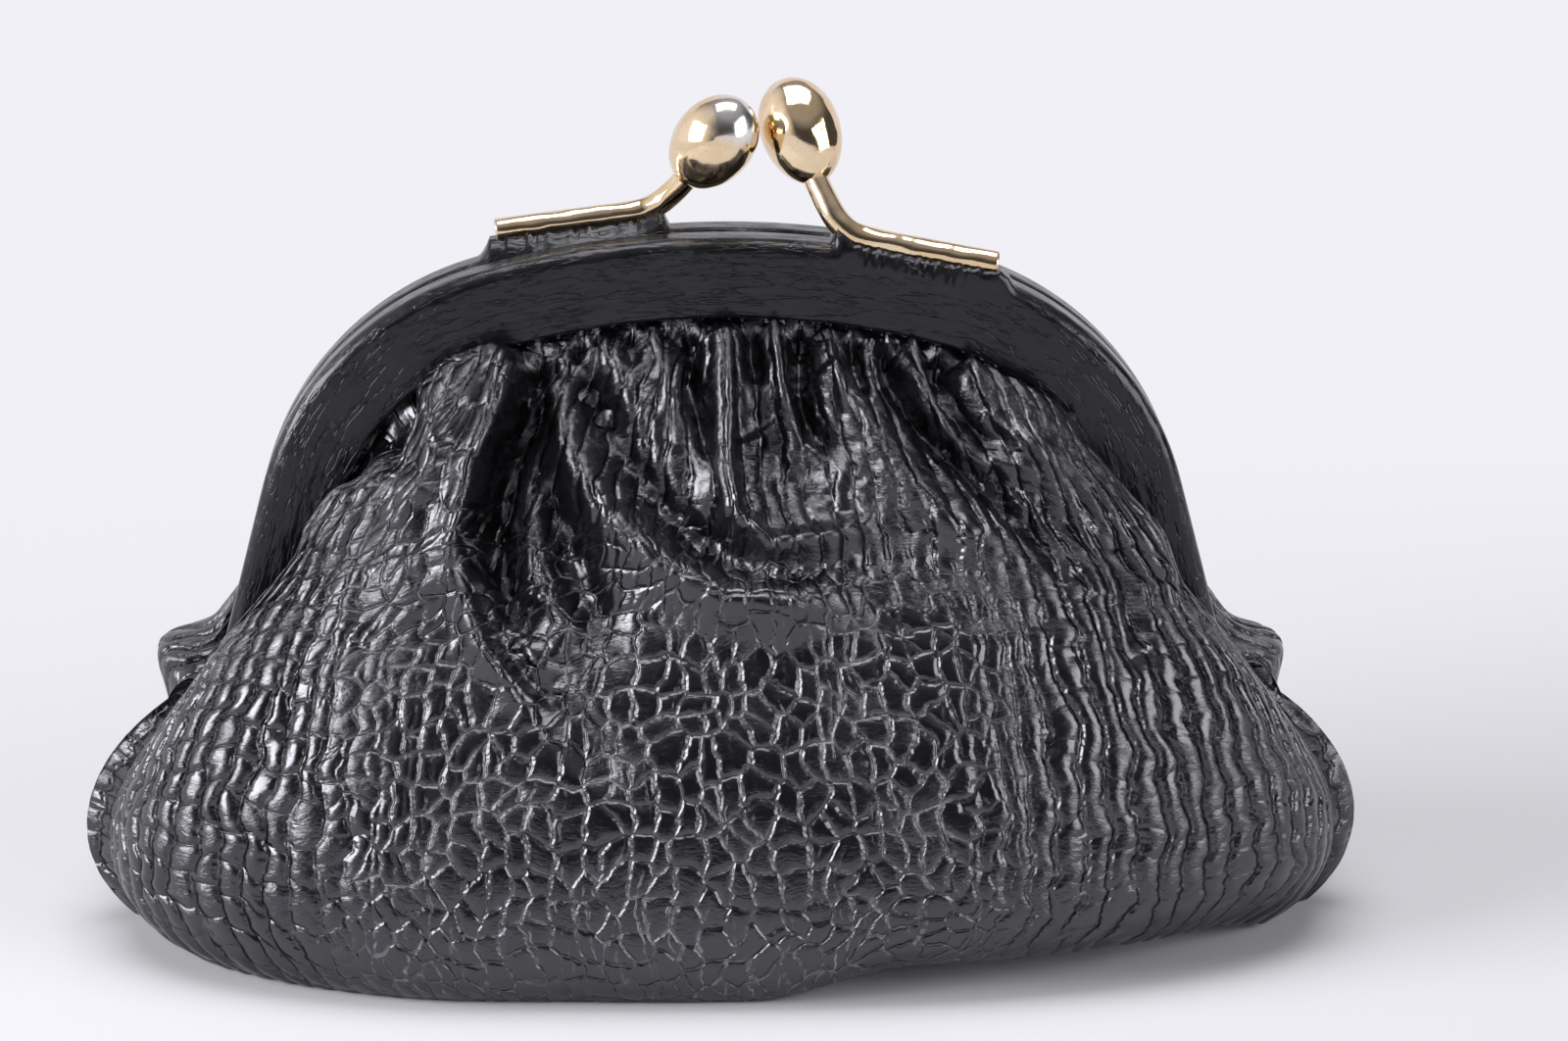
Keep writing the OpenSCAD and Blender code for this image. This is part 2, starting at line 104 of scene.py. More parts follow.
# x and z of the frame's outline, a signed run along it from the top and a depth inside it.
def archPoint(run, depth):
    run, depth = np.broadcast_arrays(np.asarray(run, float), np.asarray(depth, float))
    side = np.where(run < 0, -1.0, 1.0)
    run = np.abs(run)
    slant = math.radians(arch["slant"])
    crown = run / arch["crown"]
    shoulder = math.radians(arch["crownAngle"]) + (run - crownRun) / arch["shoulder"]
    down = run - crownRun - shoulderRun
    x = np.where(down < 0, shoulderCentre[0] + (arch["shoulder"] - depth) * np.sin(shoulder),
                 legTop[0] + down * math.sin(slant) - depth * math.cos(slant))
    z = np.where(down < 0, shoulderCentre[1] + (arch["shoulder"] - depth) * np.cos(shoulder),
                 legTop[1] - down * math.cos(slant) - depth * math.sin(slant))
    x = np.where(run < crownRun, (arch["crown"] - depth) * np.sin(crown), x)
    z = np.where(run < crownRun, arch["top"] - arch["crown"] + (arch["crown"] - depth) * np.cos(crown), z)
    return x * side, z


def addMesh(name, points, faces, material, smoothShading=True):
    mesh = bpy.data.meshes.new(name)
    mesh.from_pydata((np.asarray(points) * mm).tolist(), [], faces)
    mesh.validate()
    mesh.polygons.foreach_set("use_smooth", [smoothShading] * len(mesh.polygons))
    mesh.materials.append(material)
    piece = bpy.data.objects.new(name, mesh)
    bpy.context.scene.collection.objects.link(piece)
    return piece


def gridFaces(rows, columns, closedRows=False, closedColumns=False, start=0, flip=False):
    faces = []
    for i in range(rows if closedRows else rows - 1):
        for j in range(columns if closedColumns else columns - 1):
            a = start + i * columns + j
            b = start + i * columns + (j + 1) % columns
            c = start + ((i + 1) % rows) * columns + (j + 1) % columns
            d = start + ((i + 1) % rows) * columns + j
            faces.append((a, d, c, b) if flip else (a, b, c, d))
    return faces


# Recalculates the normals of a closed mesh so that they point outwards.
def faceOutwards(piece):
    work = bmesh.new()
    work.from_mesh(piece.data)
    bmesh.ops.recalc_face_normals(work, faces=work.faces)
    work.to_mesh(piece.data)
    work.free()


# Round bar along a path, with flat ends; the radius may be one number or one for each point.
def tube(name, path, radius, sides, material, chamfer=0.0):
    path = np.asarray(path, float)
    radius = np.broadcast_to(np.asarray(radius, float), (len(path),)).copy()
    if chamfer:
        ends = [path[0], path[0] + unitVectors(path[1] - path[0]) * chamfer]
        tail = [path[-1] - unitVectors(path[-1] - path[-2]) * chamfer, path[-1]]
        path = np.vstack([ends, path[1:-1], tail])
        first, last = radius[0], radius[-1]
        radius = np.concatenate([[first - chamfer, first], radius[1:-1], [last, last - chamfer]])
    along = unitVectors(np.gradient(path, axis=0))
    side = np.cross(along[0], [0.0, 0.0, 1.0])
    if np.linalg.norm(side) < 1e-3:
        side = np.cross(along[0], [0.0, 1.0, 0.0])
    points = []
    for k, direction in enumerate(along):
        side = unitVectors(side - direction * np.dot(side, direction))
        across = np.cross(direction, side)
        for i in range(sides):
            a = 2 * math.pi * i / sides
            points.append(path[k] + radius[k] * (math.cos(a) * side + math.sin(a) * across))
    faces = gridFaces(len(path), sides, closedColumns=True)
    first, last = len(points), len(points) + 1
    points += [path[0], path[-1]]
    base = (len(path) - 1) * sides
    faces += [(first, (i + 1) % sides, i) for i in range(sides)]
    faces += [(last, base + i, base + (i + 1) % sides) for i in range(sides)]
    piece = addMesh(name, points, faces, material)
    faceOutwards(piece)
    return piece


# Camera, at the photograph's viewing angle

camera = {"distance": 460.0, "elevation": 16.0, "yaw": 2.0, "aim": (6.27, 0.0, 41.9), "lens": 103.8}


def cameraPlace():
    up, turn = math.radians(camera["elevation"]), math.radians(camera["yaw"])
    aim = np.array(camera["aim"])
    offset = np.array([-math.cos(up) * math.sin(turn), -math.cos(up) * math.cos(turn), math.sin(up)])
    return aim + camera["distance"] * offset, aim


# Where points appear in the photograph's view, in millimetres right of and above its middle.
def seenFromFront(points):
    place, aim = cameraPlace()
    forward = unitVectors(aim - place)
    right = unitVectors(np.cross(forward, [0.0, 0.0, 1.0]))
    up = np.cross(right, forward)
    away = points - place
    depth = away @ forward
    return camera["distance"] * (away @ right) / depth, camera["distance"] * (away @ up) / depth


def makeCamera():
    place, aim = cameraPlace()
    data = bpy.data.cameras.new("camera")
    data.lens = camera["lens"]
    data.sensor_width = 36
    data.clip_start = 0.01
    data.clip_end = 20
    piece = bpy.data.objects.new("camera", data)
    bpy.context.scene.collection.objects.link(piece)
    piece.location = Vector(place * mm)
    piece.rotation_euler = Vector((aim - place).tolist()).to_track_quat("-Z", "Y").to_euler()
    bpy.context.scene.camera = piece


makeCamera()
print("camera placed")


# Shader and geometry nodes

def connect(tree, made, inputs):
    for key, value in inputs.items():
        if isinstance(value, bpy.types.NodeSocket):
            tree.links.new(value, made.inputs[key])
        else:
            made.inputs[key].default_value = value
    return made


def node(tree, kind, inputs=None, **settings):
    made = tree.nodes.new(kind)
    for name, value in settings.items():
        setattr(made, name, value)
    return connect(tree, made, inputs or {})


# A new node group with its named inputs and outputs, given as {name: kind of socket}.
def newGroup(name, kind, inputs, outputs):
    tree = bpy.data.node_groups.new(name, kind + "NodeTree")
    for way, sockets in (("INPUT", inputs), ("OUTPUT", outputs)):
        for label, socket in sockets.items():
            tree.interface.new_socket(label, in_out=way, socket_type="NodeSocket" + socket)
    return tree, tree.nodes.new("NodeGroupInput").outputs, tree.nodes.new("NodeGroupOutput")


def math2(tree, operation, a, b=0.0, clamp=False):
    return node(tree, "ShaderNodeMath", {0: a, 1: b}, operation=operation, use_clamp=clamp).outputs[0]


def times(tree, a, b, clamp=False):
    return math2(tree, "MULTIPLY", a, b, clamp)


def added(tree, a, b, clamp=False):
    return math2(tree, "ADD", a, b, clamp)


def less(tree, a, b, clamp=False):
    return math2(tree, "SUBTRACT", a, b, clamp)


def ramp(tree, value, low, high, outLow=0.0, outHigh=1.0):
    made = node(tree, "ShaderNodeMapRange", {"Value": value, "From Min": low, "From Max": high,
                "To Min": outLow, "To Max": outHigh}, interpolation_type="SMOOTHSTEP")
    return made.outputs[0]


def vector2(tree, operation, a, b):
    return node(tree, "ShaderNodeVectorMath", {0: a, 1: b}, operation=operation).outputs[0]


def scaled(tree, vector, factors):
    return vector2(tree, "MULTIPLY", vector, factors)


def stretched(tree, vector, factor):
    return node(tree, "ShaderNodeVectorMath", {0: vector, "Scale": factor}, operation="SCALE").outputs[0]


def parted(tree, vector):
    return node(tree, "ShaderNodeSeparateXYZ", {0: vector}).outputs


def noise(tree, vector, scale, detail=2.0, roughness=0.5, output=0):
    return node(tree, "ShaderNodeTexNoise", {"Vector": vector, "Scale": scale, "Detail": detail,
                "Roughness": roughness}).outputs[output]


def centredNoise(tree, place, size, reach, detail):
    made = noise(tree, scaled(tree, place, (1 / size,) * 3), 1.0, detail, output=1)
    return scaled(tree, vector2(tree, "SUBTRACT", made, (0.5, 0.5, 0.5)), (2 * reach,) * 3)


def plus(tree, a, b):
    return vector2(tree, "ADD", a, b)


# A number from 0 to 1 that jumps from one column to the next.
def luck(tree, column, step):
    return math2(tree, "FRACT", times(tree, math2(tree, "SINE", times(tree, column, step)), 437.5))


grain = {
    "cellWidth": 2.6, "cellHeight": 4.2,      # of the crackle's cells, in millimetres of leather
    "warpSize": 9.0, "warp": 2.1,             # how the columns of cells wander
    "midWarpSize": 3.0, "midWarp": 0.75,
    "fineWarpSize": 0.9, "fineWarp": 0.20,
    "tilt": 0.45,                              # slope of the creases across a column, in cells
    "dome": 1.25, "domeHeight": 0.22,         # how round each cell is
    "groove": 0.32, "grooveDepth": 0.12,      # of the creases across a column and between the net's cells
    "uprightGroove": 0.55, "uprightDepth": 0.15,
    "runOn": 0.45,                            # how far the creases across fade
    "netWidth": 2.3, "netHeight": 3.0, "netDome": 0.75,
}


# Distances in millimetres from the upright creases, from those across and from the net's, the same in a
# shader and in geometry.
def crackle(tree, place):
    place = scaled(tree, place, (1.0, 1.0, 0.0))
    moved = plus(tree, place, centredNoise(tree, place, grain["warpSize"], grain["warp"], 1.0))
    moved = plus(tree, moved, centredNoise(tree, place, grain["midWarpSize"], grain["midWarp"], 1.0))
    moved = plus(tree, moved, centredNoise(tree, place, grain["fineWarpSize"], grain["fineWarp"], 1.0))
    parts = parted(tree, moved)
    u = math2(tree, "DIVIDE", parts[0], grain["cellWidth"])
    column = math2(tree, "FLOOR", u)
    across = math2(tree, "FRACT", u)
    slope = less(tree, luck(tree, column, 7.31), 0.5)
    slope = times(tree, times(tree, slope, 2 * grain["tilt"]), across)
    v = added(tree, math2(tree, "DIVIDE", parts[1], grain["cellHeight"]), luck(tree, column, 12.99))
    along = math2(tree, "FRACT", added(tree, v, slope))
    upright = times(tree, math2(tree, "MINIMUM", across, less(tree, 1.0, across)), grain["cellWidth"])
    level = times(tree, math2(tree, "MINIMUM", along, less(tree, 1.0, along)), grain["cellHeight"])
    # the columns are cut into pillows at the left end and run on at the right
    level = added(tree, level, ramp(tree, parts[0], -34.0, -18.0, 0.0, grain["runOn"]))
    netAt = scaled(tree, moved, (1 / grain["netWidth"], 1 / grain["netHeight"], 0.0))
    cells = node(tree, "ShaderNodeTexVoronoi", {"Vector": netAt, "Scale": 1.0, "Randomness": 0.8},
                 voronoi_dimensions="2D", feature="DISTANCE_TO_EDGE").outputs["Distance"]
    return upright, level, times(tree, cells, grain["netWidth"]), moved


def domeShare(tree, distance, reach):
    flat = less(tree, 1.0, math2(tree, "DIVIDE", distance, reach), clamp=True)
    return times(tree, flat, flat)


# Shares from the third value of the leather's place: 1 a net of cells, 0 upright columns, -1 crumpled.
def grainKind(tree, place):
    kind = parted(tree, place)[2]
    return added(tree, kind, 0.0, clamp=True), times(tree, kind, -1.0, clamp=True)


def mixed(tree, share, a, b):
    return node(tree, "ShaderNodeMix", {0: share, 2: a, 3: b}, data_type="FLOAT").outputs[0]


# Height of the leather's cells in millimetres; net is 1 where they are a net and 0 where they are columns.
def cellHeights(tree, upright, level, cells, net):
    pillows = times(tree, domeShare(tree, level, grain["dome"]), 0.55)
    columns = added(tree, domeShare(tree, upright, grain["dome"]), pillows)
    netted = times(tree, domeShare(tree, cells, grain["netDome"]), 0.42)
    return times(tree, mixed(tree, net, columns, netted), -grain["domeHeight"])


def grooveHeights(tree, upright, level, cells, net):
    deep = ramp(tree, upright, 0.0, grain["uprightGroove"], -grain["uprightDepth"], 0.0)
    fine = ramp(tree, level, 0.0, grain["groove"], -grain["grooveDepth"] * 0.70, 0.0)
    netted = ramp(tree, cells, 0.0, grain["groove"], -grain["grooveDepth"], 0.0)
    netted = math2(tree, "MINIMUM", netted, times(tree, deep, 0.2))
    return mixed(tree, net, math2(tree, "MINIMUM", deep, fine), netted)


# A thin line on each side of a crease, from the distance to it: partly worn coating and partly a painted
# highlight of the groove's sides.
def creaseWearAndHighlightLine(tree, distance, width):
    away = math2(tree, "ABSOLUTE", less(tree, distance, times(tree, width, 0.9)))
    return less(tree, 1.0, math2(tree, "DIVIDE", away, width), clamp=True)


# Shader group for the crackled leather, from its own coordinates: a crease mask of wear and painted
# highlight, and a height.
def crackleGroup():
    tree, start, end = newGroup("crackledGrain", "Shader", {"Place": "Vector", "Line Width": "Float"},
                                {"Crease Wear And Highlight": "Float", "Height": "Float"})
    width = start["Line Width"]
    net, crumple = grainKind(tree, start["Place"])
    upright, level, cells, moved = crackle(tree, start["Place"])
    patchy = ramp(tree, noise(tree, moved, 0.11, 3.0), 0.38, 0.62, 0.10, 1.0)
    broken = ramp(tree, noise(tree, moved, 1.1, 2.0), 0.40, 0.60)
    gaps = ramp(tree, noise(tree, scaled(tree, moved, (0.30, 0.12, 1.0)), 1.0, 2.0), 0.44, 0.60)
    # pale lines beside the creases, mostly in the net: worn coating and a painted highlight of the grooves'
    # sides
    tall = times(tree, creaseWearAndHighlightLine(tree, upright, width), gaps)
    crease = math2(tree, "MAXIMUM", times(tree, creaseWearAndHighlightLine(tree, cells, width), 0.6), tall)
    crease = times(tree, times(tree, crease, patchy), broken)
    crease = times(tree, crease, ramp(tree, net, 0.3, 0.9, 0.06, 1.0))
    pores = noise(tree, scaled(tree, moved, (0.9, 2.4, 1.0)), 1.3, 4.0, 0.62)
    rich = added(tree, ramp(tree, noise(tree, moved, 0.12, 2.0), 0.40, 0.62, 0.04, 0.13),
                 times(tree, crumple, 0.07))
    height = cellHeights(tree, upright, level, cells, net)
    height = added(tree, height, grooveHeights(tree, upright, level, cells, net))
    height = times(tree, height, ramp(tree, crumple, 0.2, 0.9, 1.0, 0.45))
    height = added(tree, height, times(tree, pores, rich))
    connect(tree, end, {"Crease Wear And Highlight": crease, "Height": height})
    return tree


# Shader group for a smooth leather or plating: fine pebbles, soft wrinkles and wear, on Object coordinates.
def pebbleGroup():
    tree, start, end = newGroup("fineGrain", "Shader", {"Place": "Vector", "Size": "Float"},
                                {"Height": "Float", "Mottle": "Float", "Specks": "Float"})
    inMm = scaled(tree, start["Place"], (1 / mm,) * 3)
    sized = stretched(tree, inMm, start["Size"])
    pebbles = noise(tree, sized, 2.2, 3.0, 0.6)
    wrinkles = noise(tree, scaled(tree, sized, (0.55, 1.0, 1.5)), 0.42, 4.0, 0.6)
    height = added(tree, times(tree, pebbles, 0.35), wrinkles)
    mottle = ramp(tree, noise(tree, sized, 0.22, 3.0), 0.3, 0.7)
    specks = ramp(tree, noise(tree, sized, 3.4, 2.0, 0.6), 0.64, 0.72)
    connect(tree, end, {"Height": height, "Mottle": mottle, "Specks": specks})
    return tree


crackledGrain = crackleGroup()
fineGrain = pebbleGroup()


def newMaterial(name):
    material = bpy.data.materials.new(name)
    material.use_nodes = True
    tree = material.node_tree
    tree.nodes.clear()
    surface = node(tree, "ShaderNodeBsdfPrincipled")
    out = node(tree, "ShaderNodeOutputMaterial", {"Surface": surface.outputs[0]})
    out.location = (300, 0)
    return material, tree, surface


def group(tree, made, inputs):
    return node(tree, "ShaderNodeGroup", inputs, node_tree=made).outputs


def blendColour(tree, factor, a, b):
    return node(tree, "ShaderNodeMix", {0: factor, 6: a, 7: b}, data_type="RGBA").outputs[2]


def bump(tree, height, strength, distance):
    inputs = {"Height": height, "Strength": strength, "Distance": distance}
    return node(tree, "ShaderNodeBump", inputs).outputs[0]


def leatherPlace(tree):
    return node(tree, "ShaderNodeAttribute", attribute_name="leatherMap").outputs["Vector"]


def objectPlace(tree):
    return node(tree, "ShaderNodeTexCoord").outputs["Object"]


# the pale crease colour is partly worn coating and partly a painted highlight of the grooves' sides
crackledFinish = {
    "face": (0.0022, 0.0022, 0.0028, 1), "crease": (0.27, 0.27, 0.29, 1), "lineWidth": 0.08,
    "roughness": 0.17, "creaseRoughness": 0.25, "relief": 0.9, "specular": 1.0,
    "tint": (0.93, 0.92, 1.0, 1),
}
coverFinish = {
    "dark": (0.0030, 0.0030, 0.0036, 1), "pale": (0.0065, 0.0065, 0.0078, 1), "grainSize": 1.6,
    "roughness": 0.18, "mottledRoughness": 0.10, "relief": 0.7, "creaseWidth": 0.022,
    "crease": 0.045, "wave": 0.30, "pebble": 0.05, "specular": 0.45, "tint": (0.93, 0.92, 1.0, 1),
}


def crackledLeather():
    material, tree, surface = newMaterial("pouchLeather")
    finish = crackledFinish
    inputs = {"Place": leatherPlace(tree), "Line Width": finish["lineWidth"]}
    pattern = group(tree, crackledGrain, inputs)
    rough = added(tree, finish["roughness"], times(tree, pattern["Crease Wear And Highlight"], finish["creaseRoughness"]))
    # the crease mask paints the pale crease colour: worn coating and a painted highlight
    connect(tree, surface, {
        "Base Color": blendColour(tree, pattern["Crease Wear And Highlight"], finish["face"], finish["crease"]),
        "Roughness": rough, "Normal": bump(tree, pattern["Height"], finish["relief"], mm),
        "Specular IOR Level": finish["specular"], "Specular Tint": finish["tint"]})
    return material


def smoothLeather():
    material, tree, surface = newMaterial("coverLeather")
    place, finish = leatherPlace(tree), coverFinish
    inputs = {"Place": scaled(tree, place, (mm,) * 3), "Size": finish["grainSize"]}
    pattern = group(tree, fineGrain, inputs)
    rough = added(tree, finish["roughness"], times(tree, pattern["Mottle"], finish["mottledRoughness"]))
    # long creases that run with the frame, and soft waves between them
    wandering = noise(tree, scaled(tree, place, (0.10, 0.55, 1.0)), 1.0, 3.0, 0.6)
    crease = math2(tree, "ABSOLUTE", less(tree, wandering, 0.5))
    crease = times(tree, ramp(tree, crease, 0.0, finish["creaseWidth"]), finish["crease"])
    waves = noise(tree, scaled(tree, place, (0.22, 0.6, 1.0)), 1.0, 2.0)
    height = added(tree, crease, times(tree, waves, finish["wave"]))
    height = added(tree, height, times(tree, pattern["Height"], finish["pebble"]))
    connect(tree, surface, {
        "Base Color": blendColour(tree, pattern["Mottle"], finish["dark"], finish["pale"]),
        "Roughness": rough, "Normal": bump(tree, height, finish["relief"], mm),
        "Specular IOR Level": finish["specular"], "Specular Tint": finish["tint"]})
    return material


# plating of the clasp: pitted, with a silvery reflection painted on the upper right of the left ball
plating = {"gold": (0.76, 0.56, 0.34, 1), "pale": (0.84, 0.67, 0.46, 1), "silver": (0.74, 0.72, 0.70, 1),
           "pit": (0.16, 0.11, 0.07, 1), "silverReflectionAt": (0.0022, -0.0048, 0.0850), "silverReflectionReach": 0.0046}


def paleGold():
    material, tree, surface = newMaterial("claspGold")
    place = objectPlace(tree)
    pattern = group(tree, fineGrain, {"Place": place, "Size": 1.4})
    colour = blendColour(tree, pattern["Mottle"], plating["gold"], plating["pale"])
    # a silvery reflection painted on the upper right of the left ball, with a ragged edge
    gap = node(tree, "ShaderNodeVectorMath", {0: place, 1: plating["silverReflectionAt"]},
               operation="DISTANCE").outputs["Value"]
    ragged = times(tree, less(tree, pattern["Height"], 0.6), 0.004)
    paintedReflection = ramp(tree, added(tree, gap, ragged), plating["silverReflectionReach"], plating["silverReflectionReach"] * 0.5)
    colour = blendColour(tree, paintedReflection, colour, plating["silver"])
    colour = blendColour(tree, times(tree, pattern["Specks"], 0.6), colour, plating["pit"])
    rough = added(tree, 0.07, times(tree, pattern["Mottle"], 0.06))
    rough = added(tree, rough, times(tree, paintedReflection, 0.10))
    dented = noise(tree, scaled(tree, place, (1 / mm,) * 3), 0.30, 1.0)
    height = added(tree, times(tree, dented, 1.6), times(tree, pattern["Height"], 0.06))
    connect(tree, surface, {"Base Color": colour, "Metallic": 1.0, "Roughness": rough,
                            "Normal": bump(tree, height, 0.5, 0.0005)})
    return material


def plainMetal(name, colour, roughness):
    material, tree, surface = newMaterial(name)
    pattern = group(tree, fineGrain, {"Place": objectPlace(tree), "Size": 2.0})
    dark = tuple(c * 0.7 for c in colour) + (1,)
    connect(tree, surface, {
        "Base Color": blendColour(tree, pattern["Mottle"], dark, colour + (1,)), "Metallic": 1.0,
        "Roughness": added(tree, roughness, times(tree, pattern["Mottle"], 0.15)),
        "Normal": bump(tree, pattern["Height"], 0.15, 0.0002)})
    return material


def liningCloth():
    material, tree, surface = newMaterial("liningCloth")
    threads = {"Vector": leatherPlace(tree), "Scale": 1.1, "Distortion": 0.3}
    warp, weft = (node(tree, "ShaderNodeTexWave", threads, wave_type="BANDS",
                       bands_direction=axis).outputs["Fac"] for axis in "XY")
    weave = times(tree, warp, weft)
    connect(tree, surface, {
        "Base Color": blendColour(tree, weave, (0.030, 0.027, 0.030, 1), (0.062, 0.056, 0.060, 1)),
        "Roughness": 0.75, "Sheen Weight": 0.3, "Normal": bump(tree, weave, 0.4, 0.0002)})
    return material


def twistedFibre(name, colour, roughness):
    material, tree, surface = newMaterial(name)
    pattern = group(tree, fineGrain, {"Place": objectPlace(tree), "Size": 3.0})
    dark = tuple(c * 0.6 for c in colour) + (1,)
    connect(tree, surface, {
        "Base Color": blendColour(tree, pattern["Mottle"], dark, colour + (1,)),
        "Roughness": roughness, "Normal": bump(tree, pattern["Height"], 0.4, 0.0002)})
    return material


pouchLeather = crackledLeather()
coverLeather = smoothLeather()
claspGold = paleGold()
frameSteel = plainMetal("frameSteel", (0.56, 0.57, 0.59), 0.28)
rivetMetal = plainMetal("rivetMetal", (0.78, 0.66, 0.44), 0.22)
lining = liningCloth()
paperCord = twistedFibre("paperCord", (0.62, 0.48, 0.31), 0.85)
threadFibre = twistedFibre("threadFibre", (0.03, 0.03, 0.033), 0.6)
print("materials made")


# The pouch's leather and lining: a skin that hangs from the frame's lips and swells over the table

pouch = {
    "swellHeight": 10.0,
    "outlinePower": 2.3, "exitDepth": 8.4, "slotDepth": 1.6, "runShort": 0.5, "hingeShare": 0.44,
    "tuckIn": 3.0, "shoulderDrop": 20.0, "swellLift": -4.0, "bellyRise": 4.5,
    "seamHalf": 0.05, "seamInset": 5.0,
    "cornerLift": 3.2, "cheekForward": 1.2,   # of the front: its right corner up, its left cheek forward
    "underRows": 7,                            # of the flat underside, from the foot to the seam
}
leatherShape = {"top": layers["panelOuter"], "length": 57.0, "depth": 26.0, "swell": 16.0, "belly": 12.0,
                "reach": 16.0, "waist": 60.0, "sag": 1.0, "room": 5.5, "rise": 1.0, "floor": 0.0}
liningInset = 1.3
liningShape = {"top": layers["liningOuter"], "length": 57.0 - liningInset, "depth": 26.0 - liningInset,
               "swell": 16.0 - 4 * liningInset, "belly": 12.0 - 2 * liningInset,
               "reach": -9.0, "waist": 37.0, "sag": 9.0, "room": 0.0, "rise": 0.7, "floor": liningInset}


def bend(a, b, c, d, e, t):
    s = 1 - t
    return a * s ** 4 + 4 * b * s ** 3 * t + 6 * c * s * s * t * t + 4 * d * s * t ** 3 + e * t ** 4


# Outer face of a sheet, front half: angle in degrees runs from the right end over the front to the left.
def skin(angle, t, shape):
    a = np.radians(angle)
    share = 2 / pouch["outlinePower"]
    c = np.sign(np.cos(a)) * np.abs(np.cos(a)) ** share
    s = np.maximum(np.sin(a), 0) ** share
    run = (halfRun - pouch["runShort"]) * (1 - angle / 90)
    lipX, lipZ = archPoint(run, pouch["exitDepth"])
    inX, inZ = archPoint(run, pouch["exitDepth"] + pouch["tuckIn"])
    length = np.maximum(np.hypot(inX - lipX, inZ - lipZ), 1e-6)
    tuck = pouch["tuckIn"] * (2 + s) / 3
    firstX = lipX + tuck * (inX - lipX) / length
    firstZ = lipZ + tuck * (inZ - lipZ) / length - shape["sag"] / 4 * (1 - s)
    wide = (1 - s) * (np.abs(lipX) + shape["reach"]) + s * shape["waist"] * np.abs(c)
    secondX = np.sign(c) * wide
    secondZ = arch["hinge"] - shape["sag"] + (arch["top"] - arch["hinge"] - pouch["shoulderDrop"]) * s
    thirdX = (shape["length"] + shape["swell"]) * c
    thirdZ = pouch["swellHeight"] + pouch["swellLift"] * s
    x = bend(lipX, firstX, secondX, thirdX, shape["length"] * c, t)
    z = bend(lipZ, firstZ, secondZ, thirdZ, shape["floor"], t)
    rise = shape["rise"] * pouch["bellyRise"] + shape["room"] * (1 - s)
    belly = s * bend(0, rise, 4 * rise, shape["depth"] + shape["belly"], shape["depth"], t)
    near = np.minimum(t / pouch["hingeShare"], 1)
    lean = (shape["top"] - pouch["seamHalf"]) * (1 - smooth(near))
    room = shape["room"] * (1 - s * s) + shape["rise"] * pouch["bellyRise"] / 5 * s * s
    room = room * 4 * near * (1 - near)
    return np.stack([x, -(pouch["seamHalf"] + belly + lean + room), z], axis=-1)


# Positions 0..1 that cut a polyline with these step lengths into equal runs.
def evenShares(lengths, count):
    total = np.concatenate([[0], np.cumsum(lengths)])
    return np.interp(np.linspace(0, total[-1], count), total, np.linspace(0, 1, len(total))), total[-1]


def gridNormals(points):
    across = np.gradient(points, axis=0)
    down = np.gradient(points, axis=1)
    return unitVectors(np.cross(across, down))


# Even grid of a sheet's outer skin, with each point's place in the flat leather.
def sheetGrid(shape, columns, rows):
    fine = np.linspace(0, 180, 721)
    middle = skin(fine, np.full_like(fine, 0.62), shape)
    shares, width = evenShares(np.linalg.norm(np.diff(middle, axis=0), axis=1), columns)
    angles = 180 * shares
    ts = np.linspace(0, 1, 401)
    line = skin(np.full_like(ts, 90.0), ts, shape)
    tShares, height = evenShares(np.linalg.norm(np.diff(line, axis=0), axis=1), rows)
    angleGrid, tGrid = np.meshgrid(angles, tShares, indexing="ij")
    points = skin(angleGrid, tGrid, shape)
    place = np.zeros_like(points)
    place[..., 0] = np.linspace(width / 2, -width / 2, columns)[:, None]
    place[..., 1] = np.linspace(height, 0, rows)[None, :]
    return points, place, angleGrid, tGrid


# A drawn fold: its path, its half width, or those left and right of the path, and its height. It rises
# and fades over shares of its length, widens by spread and is flatter on top with a higher power.
def stroke(path, width, height, rise=0.05, fade=0.35, spread=0.0, power=2.0):
    return {"path": path, "width": width if isinstance(width, tuple) else (width, width), "height": height,
            "rise": rise, "fade": fade, "spread": spread, "power": power}


# Height at each seen place from the strokes.
def strokeField(x, z, strokes):
    field = np.zeros_like(x)
    for fold in strokes:
        path = np.array(fold["path"], float)
        steps = np.linalg.norm(np.diff(path, axis=0), axis=1)
        start = np.concatenate([[0], np.cumsum(steps)])
        best = np.full(x.shape, 1e9)
        share = np.zeros_like(x)
        hand = np.zeros_like(x)
        for k in range(len(path) - 1):
            d = path[k + 1] - path[k]
            u = np.clip(((x - path[k, 0]) * d[0] + (z - path[k, 1]) * d[1]) / (d @ d), 0, 1)
            dx, dz = x - path[k, 0] - u * d[0], z - path[k, 1] - u * d[1]
            away = np.hypot(dx, dz)
            closer = away < best
            best = np.where(closer, away, best)
            share = np.where(closer, (start[k] + u * steps[k]) / start[-1], share)
            hand = np.where(closer, np.sign(d[0] * dz - d[1] * dx), hand)
        width = np.where(hand > 0, *fold["width"]) * (1 + fold["spread"] * share)
        fade = smooth((1 - share) / fold["fade"]) * smooth((share + 0.02) / fold["rise"])
        field += fold["height"] * fade * np.exp(-(best / width) ** fold["power"])
    return field


